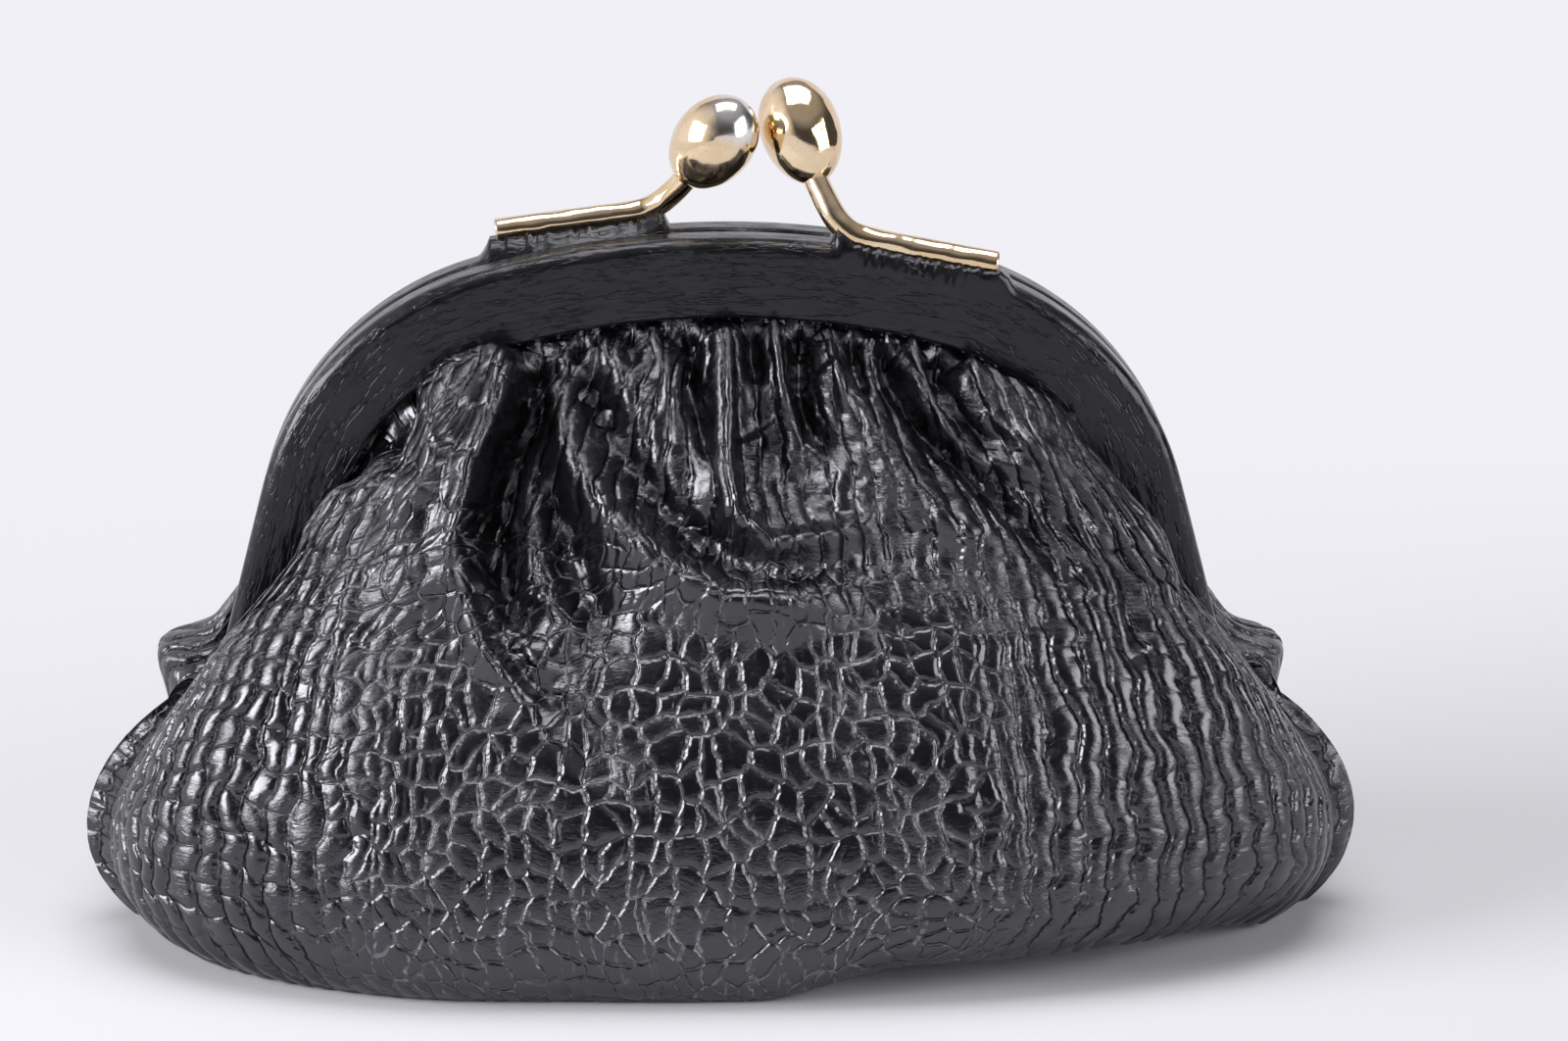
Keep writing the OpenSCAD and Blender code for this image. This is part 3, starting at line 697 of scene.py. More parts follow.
# Folds of the front leather as seen from the front, in millimetres right of and above the picture's middle
frontFolds = [
    # the crest beside the left leg of the frame, and the recess above it
    stroke([(-51, -3), (-49.5, -0.5), (-47, 1.2), (-45.2, 2), (-41.7, 3.2), (-38.3, 4.6), (-36.9, 6.1)],
           (1.1, 4.0), 1.5, rise=0.25, fade=0.2),
    stroke([(-56.4, -5.7), (-53.1, -0.1), (-49.1, 4.9), (-44.9, 8.9), (-40.4, 12.3), (-37.1, 13.9)],
           (3.4, 2.0), -5, rise=0.1, fade=0.1),
    stroke([(-39.4, 11.1), (-40.1, 7.6), (-40.4, 4.6)], 1.0, -1.6),
    # the pleat: its flat top, its thin right edge and its left edge
    stroke([(-31.5, 14.5), (-32.5, 8), (-34, 3), (-36, -2), (-37.5, -7), (-38.5, -13)],
           4.2, 3, power=4.0, rise=0.02),
    stroke([(-26.5, 15.9), (-28.7, 10.6), (-31.7, 5.1), (-32.9, -2.9), (-32.3, -7.9), (-30.7, -12.4),
            (-26.7, -17.4), (-21.7, -22)], (0.9, 1.8), 2.2, fade=0.25),
    stroke([(-36.3, 13.3), (-35.7, 9.1), (-35.5, 4.5), (-38.5, 1.5), (-41, -2), (-43.5, -6),
            (-45, -11), (-47, -17)], 1.5, 1),
    # the dark valleys right of the pleat
    stroke([(-25.3, 17.1), (-26.1, 12.1), (-28.7, 3.6), (-29.6, -2.9), (-27.7, -9.7), (-22.4, -13.7)],
           (2.4, 1.3), -4.2, fade=0.3),
    stroke([(-24.9, 13.1), (-23.9, 4.1), (-21.1, -5.9), (-17.8, -12.4), (-15, -16.9)], 2.0, -3, spread=0.3),
    stroke([(-19.9, -11.9), (-23.9, -16.9), (-19.9, -21.3), (-15, -26.8)], 1.3, -1.1),
    stroke([(-27.9, -6.9), (-23.9, -7.9), (-19.9, -12.9)], 1.0, 1),
    # the long fold that swings round below the gathers, and the hollow inside it
    stroke([(-25.1, 14.6), (-22.7, 7.6), (-18.2, 0.6), (-12.4, -4.9), (-6.2, -8.1), (0, -8.9),
            (5, -7.7), (9.3, -5.7)], (2.2, 2.8), 3.2, fade=0.2),
    stroke([(-20.4, 14.6), (-16, 6.1), (-11.6, 0.6), (-6, -3.7), (0, -5.1)], 1.8, -2, fade=0.3),
    stroke([(-19, 18.6), (-16, 13.1), (-13.5, 8.1)], 1.5, 1),
    # the second fold, inside the first, and the pocket it holds
    stroke([(-6, 19.1), (-5.6, 11.1), (-5.9, 5.6), (-5, 0.5), (-1.2, -2.7), (4.8, -1.9), (10.8, 0.7)],
           (1.3, 1.9), 3, fade=0.2),
    stroke([(-9.6, 19.5), (-9.4, 13.6), (-8.2, 8.1), (-6.8, 4.1)], (1.1, 0.8), -2.6),
    stroke([(-3, 9.1), (0, 4.6), (6, 3.6)], 2.6, -1.8),
    stroke([(-13.2, 20), (-12, 14.6), (-11, 9.1)], 1.0, 1),
    # the gathers under the middle of the frame
    stroke([(-3.5, 20), (-3, 15.9), (-2.2, 13.1)], 0.8, -1.8),
    stroke([(-1, 20), (-0.4, 14.6), (1.2, 9.1)], 1.1, 1.6),
    stroke([(1.8, 20), (1.5, 13.6), (3, 9.1), (7.5, 5.6)], 1.0, -2.4),
    stroke([(4.2, 19.5), (4.8, 14.6), (7.2, 10.1)], 0.9, 1.3),
    stroke([(7.2, 19.1), (7.4, 15.6), (8.6, 12)], 0.8, -1.8),
    stroke([(-15.5, 19.5), (-15.2, 15.6)], 0.9, -1.2),
    stroke([(-20.7, 18.6), (-19.7, 13.1), (-17.2, 8.1)], 1.2, -1.2),
    # the folds that run down to the right
    stroke([(4.5, 15.6), (8, 10.1), (11.2, 5.5), (16, 0.3), (21.9, -3.1), (28.4, -9.1)],
           (1.6, 2.6), 2.4, spread=0.4, fade=0.4),
    stroke([(10.3, 18.6), (11.2, 13.6), (14.8, 8.6), (19, 4.9), (24.9, -0.9), (29.9, -6.9)],
           (1.5, 1.1), -3, fade=0.4),
    stroke([(15.5, 17.1), (16.8, 12.6), (19.9, 9.9), (24.9, 6.1)], 1.7, -2.8),
    stroke([(12.5, 18.1), (13.8, 14.6), (16.5, 9.1), (21.4, 3.1)], 0.9, 1.6),
    stroke([(19.9, 10.6), (24.9, 7.6), (29.4, 3.6)], 1.0, 1.3),
    stroke([(20.9, 5.1), (25.9, 2.6), (30.9, -2.9)], 1.1, -1.2),
    # the crest beside the right leg of the frame, and the recess above it
    stroke([(16.8, 15.9), (21.9, 13.1), (26.1, 10.9), (29.9, 8.3), (34.9, 1.6), (38.9, -5.7),
            (39.6, -11.9)], (1.0, 3.0), 2.1, rise=0.08, fade=0.3),
    stroke([(18.5, 18.3), (23.4, 16.1), (28.4, 13.3), (32.7, 9.9), (36.7, 5.7), (39.7, 1.1), (41.7, -3.1)],
           (2.8, 1.7), -4.6, rise=0.1, fade=0.1),
    stroke([(33.9, -2.9), (35.9, -8.9), (36.4, -15.9)], 1.4, -0.9),
    # soft hollows low down
    stroke([(-29.4, -11), (-26, -17), (-21.9, -22), (-17.5, -27), (-15, -30)], 1.5, -1.1),
    stroke([(-49, -16), (-53, -24), (-56, -30)], 1.6, -0.6),
]


# Folds that fall from the lips of the half that the photograph hides.
def looseFolds(seed, count, top):
    draw = np.random.RandomState(seed)
    folds = []
    for k in range(count):
        share = (k + 0.5 + draw.uniform(-0.3, 0.3)) / count * 2 - 1
        x = 36 * share
        z = top - 5.5 * share * share
        length = draw.uniform(9, 26)
        lean = share * draw.uniform(0.5, 1.0) + draw.uniform(-0.1, 0.1)
        path = [(x + lean * length * u ** 1.5, z - length * u) for u in (0.0, 0.2, 0.4, 0.6, 0.8, 1.0)]
        height = draw.uniform(0.7, 1.5) * (1 if k % 2 else -1)
        folds.append(stroke(path, draw.uniform(0.9, 2.0), height, spread=0.8))
    return folds


def named(tree, name, kind):
    return node(tree, "GeometryNodeInputNamedAttribute", {"Name": name}, data_type=kind).outputs[0]


# Geometry nodes that press the crackled grain and the fine wrinkles into the leather.
def leatherRelief():
    inputs = {"Geometry": "Geometry", "Grain": "Float", "Wrinkle": "Float"}
    tree, start, end = newGroup("leatherRelief", "Geometry", inputs, {"Geometry": "Geometry"})
    place = named(tree, "leatherMap", "FLOAT_VECTOR")
    outside = named(tree, "grainShare", "FLOAT")
    net, crumple = grainKind(tree, place)
    upright, level, cells, moved = crackle(tree, place)
    relief = times(tree, cellHeights(tree, upright, level, cells, net), start["Grain"])
    relief = times(tree, relief, ramp(tree, crumple, 0.2, 0.9, 1.0, 0.45))
    ridges = noise(tree, scaled(tree, moved, (0.34, 0.85, 0.5)), 1.0, 3.0, 0.55)
    ridges = math2(tree, "ABSOLUTE", less(tree, ridges, 0.5))
    ridges = times(tree, less(tree, 0.12, ridges), start["Wrinkle"])
    ridges = times(tree, ridges, crumple)
    height = times(tree, added(tree, relief, ridges), outside)
    normal = tree.nodes.new("GeometryNodeInputNormal").outputs[0]
    offset = stretched(tree, normal, times(tree, height, mm))
    moved = node(tree, "GeometryNodeSetPosition", {"Geometry": start["Geometry"], "Offset": offset})
    connect(tree, end, {"Geometry": moved.outputs[0]})
    return tree


# Runs geometry nodes on the piece and keeps the plain mesh that they make.
def worked(piece, tree, inputs):
    modifier = piece.modifiers.new(tree.name, "NODES")
    modifier.node_group = tree
    for socket in tree.interface.items_tree:
        if socket.name in inputs:
            modifier[socket.identifier] = inputs[socket.name]
    depsgraph = bpy.context.evaluated_depsgraph_get()
    mesh = bpy.data.meshes.new_from_object(piece.evaluated_get(depsgraph))
    old = piece.data
    piece.modifiers.clear()
    piece.data = mesh
    bpy.data.meshes.remove(old)


def pointAttribute(piece, name, kind, values):
    attribute = piece.data.attributes.new(name, kind, "POINT")
    field = "vector" if kind == "FLOAT_VECTOR" else "value"
    attribute.data.foreach_set(field, np.asarray(values, np.float32).ravel())


# The front's right corner and left cheek: where each begins and its reach, to the side and to the front,
# and the height at which it ends.
settled = {"corner": ((2, 16), (5, 12), 16), "cheek": ((14, 18), (3, 10), 34)}


def nearness(x, y, z, region):
    (side, sideRise), (front, frontRise), height = region
    return smooth((x - side) / sideRise) * smooth((-y - front) / frontRise) * (1 - smooth(z / height))


# How the front of the pouch sits on the table, seen in the photograph: no two sides of it are the same.
def settle(points):
    x, y, z = points[..., 0], points[..., 1], points[..., 2]
    points[..., 2] += pouch["cornerLift"] * nearness(x, y, z, settled["corner"])
    points[..., 1] -= pouch["cheekForward"] * nearness(-x, y, z, settled["cheek"])


# A closed sheet: a fine outer face, a coarser inner face, and its edges; side is -1 for the front half.
def sheetPiece(name, side, shape, thickness, material, columns, innerSegments, stepRows, relief):
    rows = innerSegments * stepRows + 1
    points, place, angles, ts = sheetGrid(shape, columns, rows)
    normals = gridNormals(points)
    lift, crumple = relief(points, angles, ts) if relief else (np.zeros(ts.shape), np.zeros(ts.shape))
    outer = points + normals * lift[..., None]
    sunk = lift[:, ::stepRows] * 0.8 - thickness
    inner = points[:, ::stepRows] + normals[:, ::stepRows] * sunk[..., None]
    # the strip inside the frame's slot, and the flat underside
    runs = (halfRun - pouch["runShort"]) * (1 - angles[:, 0] / 90)
    slotX, slotZ = archPoint(runs, pouch["slotDepth"])
    lipX, lipZ = archPoint(runs, pouch["exitDepth"] - 0.6)
    foot = outer[:, -1]
    seamX = (shape["length"] - pouch["seamInset"]) * np.cos(np.radians(angles[:, 0]))
    under = []
    for share in np.linspace(0.15, 1, pouch["underRows"]):
        x = foot[:, 0] * (1 - share) + seamX * share
        y = foot[:, 1] * (1 - share) - pouch["seamHalf"] * share
        under.append(np.stack([x, y, np.full_like(x, shape["floor"])], -1))
    slot = [np.stack([slotX, np.full_like(slotX, -shape["top"]), slotZ], -1),
            np.stack([lipX, np.full_like(lipX, -shape["top"]), lipZ], -1)]
    outer = np.concatenate([np.stack(slot, 1), outer, np.stack(under, 1)], axis=1)
    back = [row + np.array([0, thickness, 0]) for row in slot]
    raised = [row + np.array([0, 0, thickness]) for row in under]
    inner = np.concatenate([np.stack(back, 1), inner, np.stack(raised, 1)], axis=1)
    outer[..., 2] = np.maximum(outer[..., 2], shape["floor"])
    inner[..., 2] = np.maximum(inner[..., 2], shape["floor"] + thickness * 0.8)
    outer[..., 1] = np.minimum(outer[..., 1], -pouch["seamHalf"])
    inner[..., 1] = np.minimum(inner[..., 1], -pouch["seamHalf"])
    if side < 0:
        settle(outer)
        settle(inner)
    step = np.linalg.norm(np.diff(outer[columns // 2], axis=0), axis=1)
    down = place[0, 0, 1] + step[0] + step[1] - np.concatenate([[0], np.cumsum(step)])
    placeOuter = np.zeros_like(outer)
    placeOuter[..., 0] = place[:, :1, 0]
    placeOuter[..., 1] = down[None, :]
    net = 1 - smooth((np.abs(outer[..., 0] + 6) - 24) / 16)
    placeOuter[..., 2] = net
    hanging = slice(len(slot), -pouch["underRows"])
    placeOuter[:, hanging, 2] = net[:, hanging] * (1 - crumple) - crumple
    share = np.zeros(outer.shape[:2])
    share[:, hanging] = smooth(ts / 0.03)
    share[:, -pouch["underRows"]:] = 0.4
    nOuter, nInner = outer.shape[1], inner.shape[1]
    flip = side > 0
    mirror = np.array([1.0, 1.0 if side < 0 else -1.0, 1.0])
    verts = np.concatenate([outer.reshape(-1, 3), inner.reshape(-1, 3)]) * mirror
    base = columns * nOuter
    faces = gridFaces(columns, nOuter, flip=not flip)
    faces += gridFaces(columns, nInner, start=base, flip=flip)
    for i in range(columns - 1):   # the edge in the slot and the edge at the bottom seam
        for j, k in ((0, 0), (nOuter - 1, nInner - 1)):
            a, b = i * nOuter + j, base + i * nInner + k
            quad = (a, a + nOuter, b + nInner, b)
            faces.append(quad if (j == 0) != flip else quad[::-1])
    outerRows = [0, 1] + [2 + j * stepRows for j in range(innerSegments + 1)]
    outerRows += [outerRows[-1] + 1 + j for j in range(nInner - len(outerRows))]
    for i in (0, columns - 1):     # the edges at the two ends
        for j in range(nInner - 1):
            ring = [i * nOuter + r for r in range(outerRows[j], outerRows[j + 1] + 1)]
            ring += [base + i * nInner + j + 1, base + i * nInner + j]
            faces.append(tuple(ring if (i == 0) == flip else ring[::-1]))
    piece = addMesh(name, verts, faces, material)
    placeAll = np.concatenate([placeOuter.reshape(-1, 3), np.zeros((columns * nInner, 3))])
    placeAll[base:, 0] = np.repeat(place[:, 0, 0], nInner)
    placeAll[base:, 1] = np.tile(np.linspace(down[0], down[-1], nInner), columns)
    if side > 0:
        placeAll[:, 0] += 400
    pointAttribute(piece, "leatherMap", "FLOAT_VECTOR", placeAll)
    shares = np.concatenate([share.ravel(), np.zeros(columns * nInner)])
    pointAttribute(piece, "grainShare", "FLOAT", shares)
    return piece


reliefTree = leatherRelief()


def pressGrain(piece, grainAmount, wrinkleAmount):
    worked(piece, reliefTree, {"Grain": grainAmount, "Wrinkle": wrinkleAmount})
    for vertex in piece.data.vertices:   # the table stops it
        vertex.co.z = max(vertex.co.z, 0.0)


# Where the leather is crumpled, as seen from the front: [x, z, half width, half height, share].
crumpledSpots = [(7, 5, 14, 11, 1.0), (-22, 5, 10, 10, 0.35)]


# Ranges for the fine gathers: angles of the middle ones and of all, half width, height and share of the skin.
gathers = {"count": 34, "middle": (87, 17), "all": (30, 150), "width": (0.6, 1.5), "height": (-1.3, 0.8),
           "reach": (0.08, 0.26)}


# Relief of one leather: its drawn folds, and the fine gathers that start at the frame's lips.
def gathered(folds, fineSeed):
    def relief(points, angles, ts):
        x, z = seenFromFront(points)
        fade = smooth(ts / 0.05) * smooth((1.0 - ts) / 0.12)
        drawn = strokeField(x, z, folds)
        draw = np.random.RandomState(fineSeed)
        fine = np.zeros_like(ts)
        for k in range(gathers["count"]):
            at = draw.normal(*gathers["middle"]) if k % 2 else draw.uniform(*gathers["all"])
            wide, deep, reach = (draw.uniform(*gathers[key]) for key in ("width", "height", "reach"))
            fine += deep * np.exp(-((angles - at) / wide) ** 2) * smooth(1 - ts / reach)
        crumple = np.zeros_like(ts)
        for atX, atZ, wide, tall, share in crumpledSpots:
            crumple += share * np.exp(-((x - atX) / wide) ** 2 - ((z - atZ) / tall) ** 2)
        high = 0.75 * smooth((z + 4) / 10) * smooth((36 - np.abs(x)) / 8)
        crumple = np.maximum(crumple, high)
        lift = (drawn + fine) * fade
        return np.maximum(lift, 2.4 + points[..., 1]), np.minimum(crumple, 1.0)
    return relief


# Knuckles of leather that stand out beside the hinges of the back half, as [x, z, reach, height].
backKnuckles = [(-58, 25.5, 2.7, 4.2), (-59.5, 21, 2.0, -1.6),
                (57, 24.5, 2.5, 3.2), (58.5, 20.5, 2.0, -1.0)]


def knuckled(relief):
    def lifted(points, angles, ts):
        lift, crumple = relief(points, angles, ts)
        for x, z, reach, height in backKnuckles:
            away = ((points[..., 0] - x) / 2) ** 2 + (points[..., 2] - z) ** 2
            lift = lift + height * np.exp(-away / reach ** 2)
        return lift, crumple
    return lifted


# The lining gives way where the leather's folds press in.
def yielding(relief):
    def pressed(points, angles, ts):
        lift, crumple = relief(skin(angles, ts, leatherShape), angles, ts)
        return np.maximum(np.minimum(lift, 0), 1.2 + points[..., 1]), 0 * crumple
    return pressed


# Thicknesses, rows of the inner face, and how deep the grain and the wrinkles are pressed.
sheets = {"leather": 0.9, "leatherRows": 26, "grain": 1.0, "wrinkle": 1.8,
          "lining": 0.35, "liningColumns": 160, "liningRows": 24, "liningStep": 2}
leatherColumns, leatherStep = ((400, 8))


def leatherPiece(name, side, relief):
    piece = sheetPiece(name, side, leatherShape, sheets["leather"], pouchLeather, leatherColumns,
                       sheets["leatherRows"], leatherStep, relief)
    pressGrain(piece, sheets["grain"], sheets["wrinkle"])
    return piece


def liningPiece(name, side, relief):
    return sheetPiece(name, side, liningShape, sheets["lining"], lining, sheets["liningColumns"],
                      sheets["liningRows"], sheets["liningStep"], yielding(relief))


frontRelief = gathered(frontFolds, 3)
backRelief = knuckled(gathered(looseFolds(7, 17, 20), 5))
frontLeather = leatherPiece("frontLeather", -1, frontRelief)
backLeather = leatherPiece("backLeather", 1, backRelief)
frontLining = liningPiece("frontLining", -1, frontRelief)
backLining = liningPiece("backLining", 1, backRelief)
print("pouch made")


# The frame's leather covers

cover = {"corner": 1.4, "lipRadius": 0.55, "skin": 0.45, "steps": 420, "hug": -0.55, "hugReach": 3.2}


clasp = {
    "rodRadius": 1.25, "rodSides": 28,
    "frontRod": [(27.4, -3.25, 69.2), (20.2, -3.25, 70.6), (16.0, -3.25, 71.45), (13.2, -3.2, 72.25),
                 (11.6, -2.9, 73.5), (10.4, -2.0, 75.4), (9.2, -0.5, 77.8), (8.4, 0.7, 79.8)],
    "backRod": [(-22.6, 3.25, 71.5), (-13.0, 3.25, 72.7), (-8.8, 3.25, 73.25), (-6.8, 3.1, 73.9),
                (-5.2, 2.6, 75.1), (-3.6, 1.3, 77.0), (-2.0, -0.4, 79.4)],
    "frontBall": (7.99, 1.5, 81.8), "backBall": (-0.81, -1.5, 81.3),
    "ballRadius": 4.0, "ballHalf": 5.6, "egg": 0.05,
}


def quarter(middleX, middleY, radius, first, count):
    angles = np.radians(np.linspace(first, first + 90, count))
    return [(middleX + radius * math.cos(a), middleY + radius * math.sin(a)) for a in angles]


# Section of a cover as depth and distance from the middle plane: out round the web and back inside.
def coverProfile():
    near, far = layers["coverInner"], layers["coverOuter"]
    corner, lip, high = cover["corner"], cover["lipRadius"], arch["height"]
    path = [(high - 0.35, far - 1.12), (high - 0.02, far - 0.95)]
    path += quarter(high - lip, far - lip, lip, 0, 5)
    path += [(d, far) for d in np.linspace(high - lip - 1.0, corner + 0.8, 7)]
    path += quarter(corner, far - corner, corner, 90, 8)
    path += [(0.0, y) for y in np.linspace(far - corner - 0.35, near + corner * 0.7 + 0.35, 5)]
    path += quarter(corner * 0.7, near + corner * 0.7, corner * 0.7, 180, 6)
    path += [(d, near) for d in np.linspace(2.2, high - lip, 4)]
    path += quarter(high - lip, near + lip, lip, 270, 4)
    path.append((high - 0.35, near + 1.12))
    outside = np.array(path)
    along = unitVectors(np.gradient(outside, axis=0))
    inside = outside + cover["skin"] * np.stack([along[:, 1], -along[:, 0]], -1) * -1
    return outside, inside[::-1]


def coverPiece(name, side, rodPath):
    outside, inside = coverProfile()
    loop = np.concatenate([outside, inside])
    runs = np.linspace(-halfRun, halfRun, cover["steps"])
    draw = np.random.RandomState(11 if side < 0 else 12)
    waves = [(draw.uniform(0.05, 0.9), draw.uniform(0, 6.28), draw.uniform(0.01, 0.035)) for k in range(22)]
    points = np.zeros((len(runs), len(loop), 3))
    for j, (depth, y) in enumerate(loop):
        x, z = archPoint(runs, depth)
        points[:, j] = np.stack([x, np.full_like(x, -y), z], -1)
    sway = sum(h * np.sin(f * runs + p) for f, p, h in waves)
    pillow = np.zeros(len(loop))
    pillow[:len(outside)] = np.clip(np.minimum(outside[:, 0], arch["height"] - outside[:, 0]) / 2.5, 0, 1)
    points[..., 1] -= (pillow[None, :] * sway[:, None]) * 0.8
    # the leather stands up round the rod, where it lies in the slit
    rod = np.asarray(rodPath) * np.array([1, 1 if side < 0 else -1, 1])
    order = np.argsort(rod[:, 0])
    shell = points[:, :len(outside)]
    rodY = np.interp(shell[..., 0], rod[order, 0], rod[order, 1])
    rodZ = np.interp(shell[..., 0], rod[order, 0], rod[order, 2])
    beyond = np.maximum(rod[:, 0].min() - shell[..., 0], shell[..., 0] - rod[:, 0].max())
    aside = np.abs(shell[..., 1] - rodY)
    ragged = 0.16 * np.sin(runs * 5.3) * np.sin(runs * 2.1 + 1) + 0.10 * np.sin(runs * 11.7)
    wanted = rodZ + cover["hug"] + ragged[:, None] - 0.9 * np.maximum(aside - clasp["rodRadius"] - 0.1, 0)
    near = smooth(1 - np.maximum(beyond - 0.3, 0) / 1.6)
    near = near * smooth(cover["hugReach"] - (rodZ - shell[..., 2]))
    shell[..., 2] += np.maximum(wanted - shell[..., 2], 0) * near * smooth((3.4 - aside) / 1.2)
    points[..., 1] *= 1 if side < 0 else -1
    faces = gridFaces(len(runs), len(loop), closedColumns=True)
    count = len(loop)
    faces.append(tuple(range(count)))
    faces.append(tuple((len(runs) - 1) * count + j for j in range(count))[::-1])
    piece = addMesh(name, points.reshape(-1, 3), faces, coverLeather)
    faceOutwards(piece)
    around = np.concatenate([[0], np.cumsum(np.linalg.norm(np.diff(loop, axis=0), axis=1))])
    place = np.zeros(points.shape)
    place[..., 0] = runs[:, None]
    place[..., 1] = around
    place[..., 2] = 40 * side
    pointAttribute(piece, "leatherMap", "FLOAT_VECTOR", place)
    return piece


# The clasp: rods bent up from the frame, and the balls on them, as places in the front and back halves

# Catmull-Rom curve through the points, with the same spacing all along.
def smoothPath(points, count):
    p = np.asarray(points, float)
    p = np.vstack([2 * p[0] - p[1], p, 2 * p[-1] - p[-2]])
    out = []
    for k in range(1, len(p) - 2):
        for u in np.linspace(0, 1, 24, endpoint=False):
            a, b, c, d = p[k - 1], p[k], p[k + 1], p[k + 2]
            second, third = 2 * a - 5 * b + 4 * c - d, 3 * b - a - 3 * c + d
            out.append(0.5 * (2 * b + (c - a) * u + second * u ** 2 + third * u ** 3))
    out.append(p[-2])
    out = np.array(out)
    shares, total = evenShares(np.linalg.norm(np.diff(out, axis=0), axis=1), count)
    index = shares * (len(out) - 1)
    return np.stack([np.interp(index, np.arange(len(out)), out[:, i]) for i in range(3)], -1)


def ballPiece(name, middle, neck):
    middle, neck = np.array(middle), np.array(neck)
    axis = unitVectors(middle - neck)
    side = unitVectors(np.cross(axis, [0.0, 1.0, 0.0]))
    across = np.cross(axis, side)
    rings, turns = 48, 64
    points = []
    for a in np.linspace(-88, 90, rings)[:-1]:
        u = math.sin(math.radians(a))
        r = clasp["ballRadius"] * math.cos(math.radians(a)) * (1 + clasp["egg"] * u)
        for k in range(turns):
            t = 2 * math.pi * k / turns
            out = math.cos(t) * side + math.sin(t) * across
            points.append(middle + axis * clasp["ballHalf"] * u + r * out)
    faces = gridFaces(rings - 1, turns, closedColumns=True)
    points += [middle - axis * clasp["ballHalf"], middle + axis * clasp["ballHalf"]]
    low, high = len(points) - 2, len(points) - 1
    last = (rings - 2) * turns
    faces += [(low, (k + 1) % turns, k) for k in range(turns)]
    faces += [(high, last + k, last + (k + 1) % turns) for k in range(turns)]
    piece = addMesh(name, points, faces, claspGold)
    faceOutwards(piece)
    return piece


frontRodPath = smoothPath(clasp["frontRod"], 60)
backRodPath = smoothPath(clasp["backRod"], 60)
frontRod = tube("frontRod", frontRodPath, clasp["rodRadius"], clasp["rodSides"], claspGold, chamfer=0.12)
backRod = tube("backRod", backRodPath, clasp["rodRadius"], clasp["rodSides"], claspGold, chamfer=0.12)
frontBall = ballPiece("frontBall", clasp["frontBall"], clasp["frontRod"][-3])
backBall = ballPiece("backBall", clasp["backBall"], clasp["backRod"][-3])
frontCover = coverPiece("frontCover", -1, frontRodPath)
backCover = coverPiece("backCover", 1, backRodPath)
print("frame covers and clasp made")


# Small parts: the twisted paper cords, and the stitches of the seams

paperPlies = {"depth": 3.1, "endGap": 1.0, "steps": 420, "sides": 14,
              "waist": 0.36, "ply": 0.12, "twist": 1.9}


# Two plies of paper twisted round each other, along the frame's slot.
def twistedCord(name, side):
    runs = np.linspace(paperPlies["endGap"] - halfRun, halfRun - paperPlies["endGap"], paperPlies["steps"])
    depth, count = paperPlies["depth"], paperPlies["sides"]
    x, z = archPoint(runs, depth)
    points = []
    for k, run in enumerate(runs):
        a, b = archPoint(run + 0.1, depth), archPoint(run - 0.1, depth)
        along = unitVectors(np.array([a[0] - b[0], 0.0, a[1] - b[1]]))
        out = np.cross(along, [0.0, 1.0, 0.0])
        for i in range(count):
            t = 2 * math.pi * i / count
            r = paperPlies["waist"] + paperPlies["ply"] * abs(math.cos(t - run * paperPlies["twist"]))
            points.append(np.array([x[k], side * layers["cord"], z[k]])
                          + r * (math.cos(t) * out + math.sin(t) * np.array([0.0, 1.0, 0.0])))
    faces = gridFaces(len(runs), count, closedColumns=True)
    faces += [tuple(range(count))[::-1], tuple((len(runs) - 1) * count + i for i in range(count))]
    piece = addMesh(name, points, faces, paperCord)
    faceOutwards(piece)
    return piece


stitch = {"length": 2.4, "thick": 0.15, "pitch": 3.2, "firstShare": 0.5}


# Geometry nodes that lay one rounded stitch across the seam at each point of a line.
def stitchTree():
    inputs = {"Geometry": "Geometry", "Length": "Float", "Thickness": "Float", "Thread": "Material"}
    tree, start, end = newGroup("seamStitches", "Geometry", inputs, {"Geometry": "Geometry"})
    bead = node(tree, "GeometryNodeMeshUVSphere", {"Segments": 10, "Rings": 8, "Radius": 1.0})
    thick = start["Thickness"]
    size = node(tree, "ShaderNodeCombineXYZ", {0: thick, 1: start["Length"], 2: thick})
    laid = node(tree, "GeometryNodeInstanceOnPoints", {"Points": start["Geometry"],
                "Instance": bead.outputs["Mesh"], "Scale": size.outputs[0]})
    real = node(tree, "GeometryNodeRealizeInstances", {"Geometry": laid.outputs[0]})
    painted = node(tree, "GeometryNodeSetMaterial", {"Geometry": real.outputs[0],
                   "Material": start["Thread"]})
    shaded = node(tree, "GeometryNodeSetShadeSmooth", {"Geometry": painted.outputs[0]})
    connect(tree, end, {"Geometry": shaded.outputs[0]})
    return tree


stitches = stitchTree()


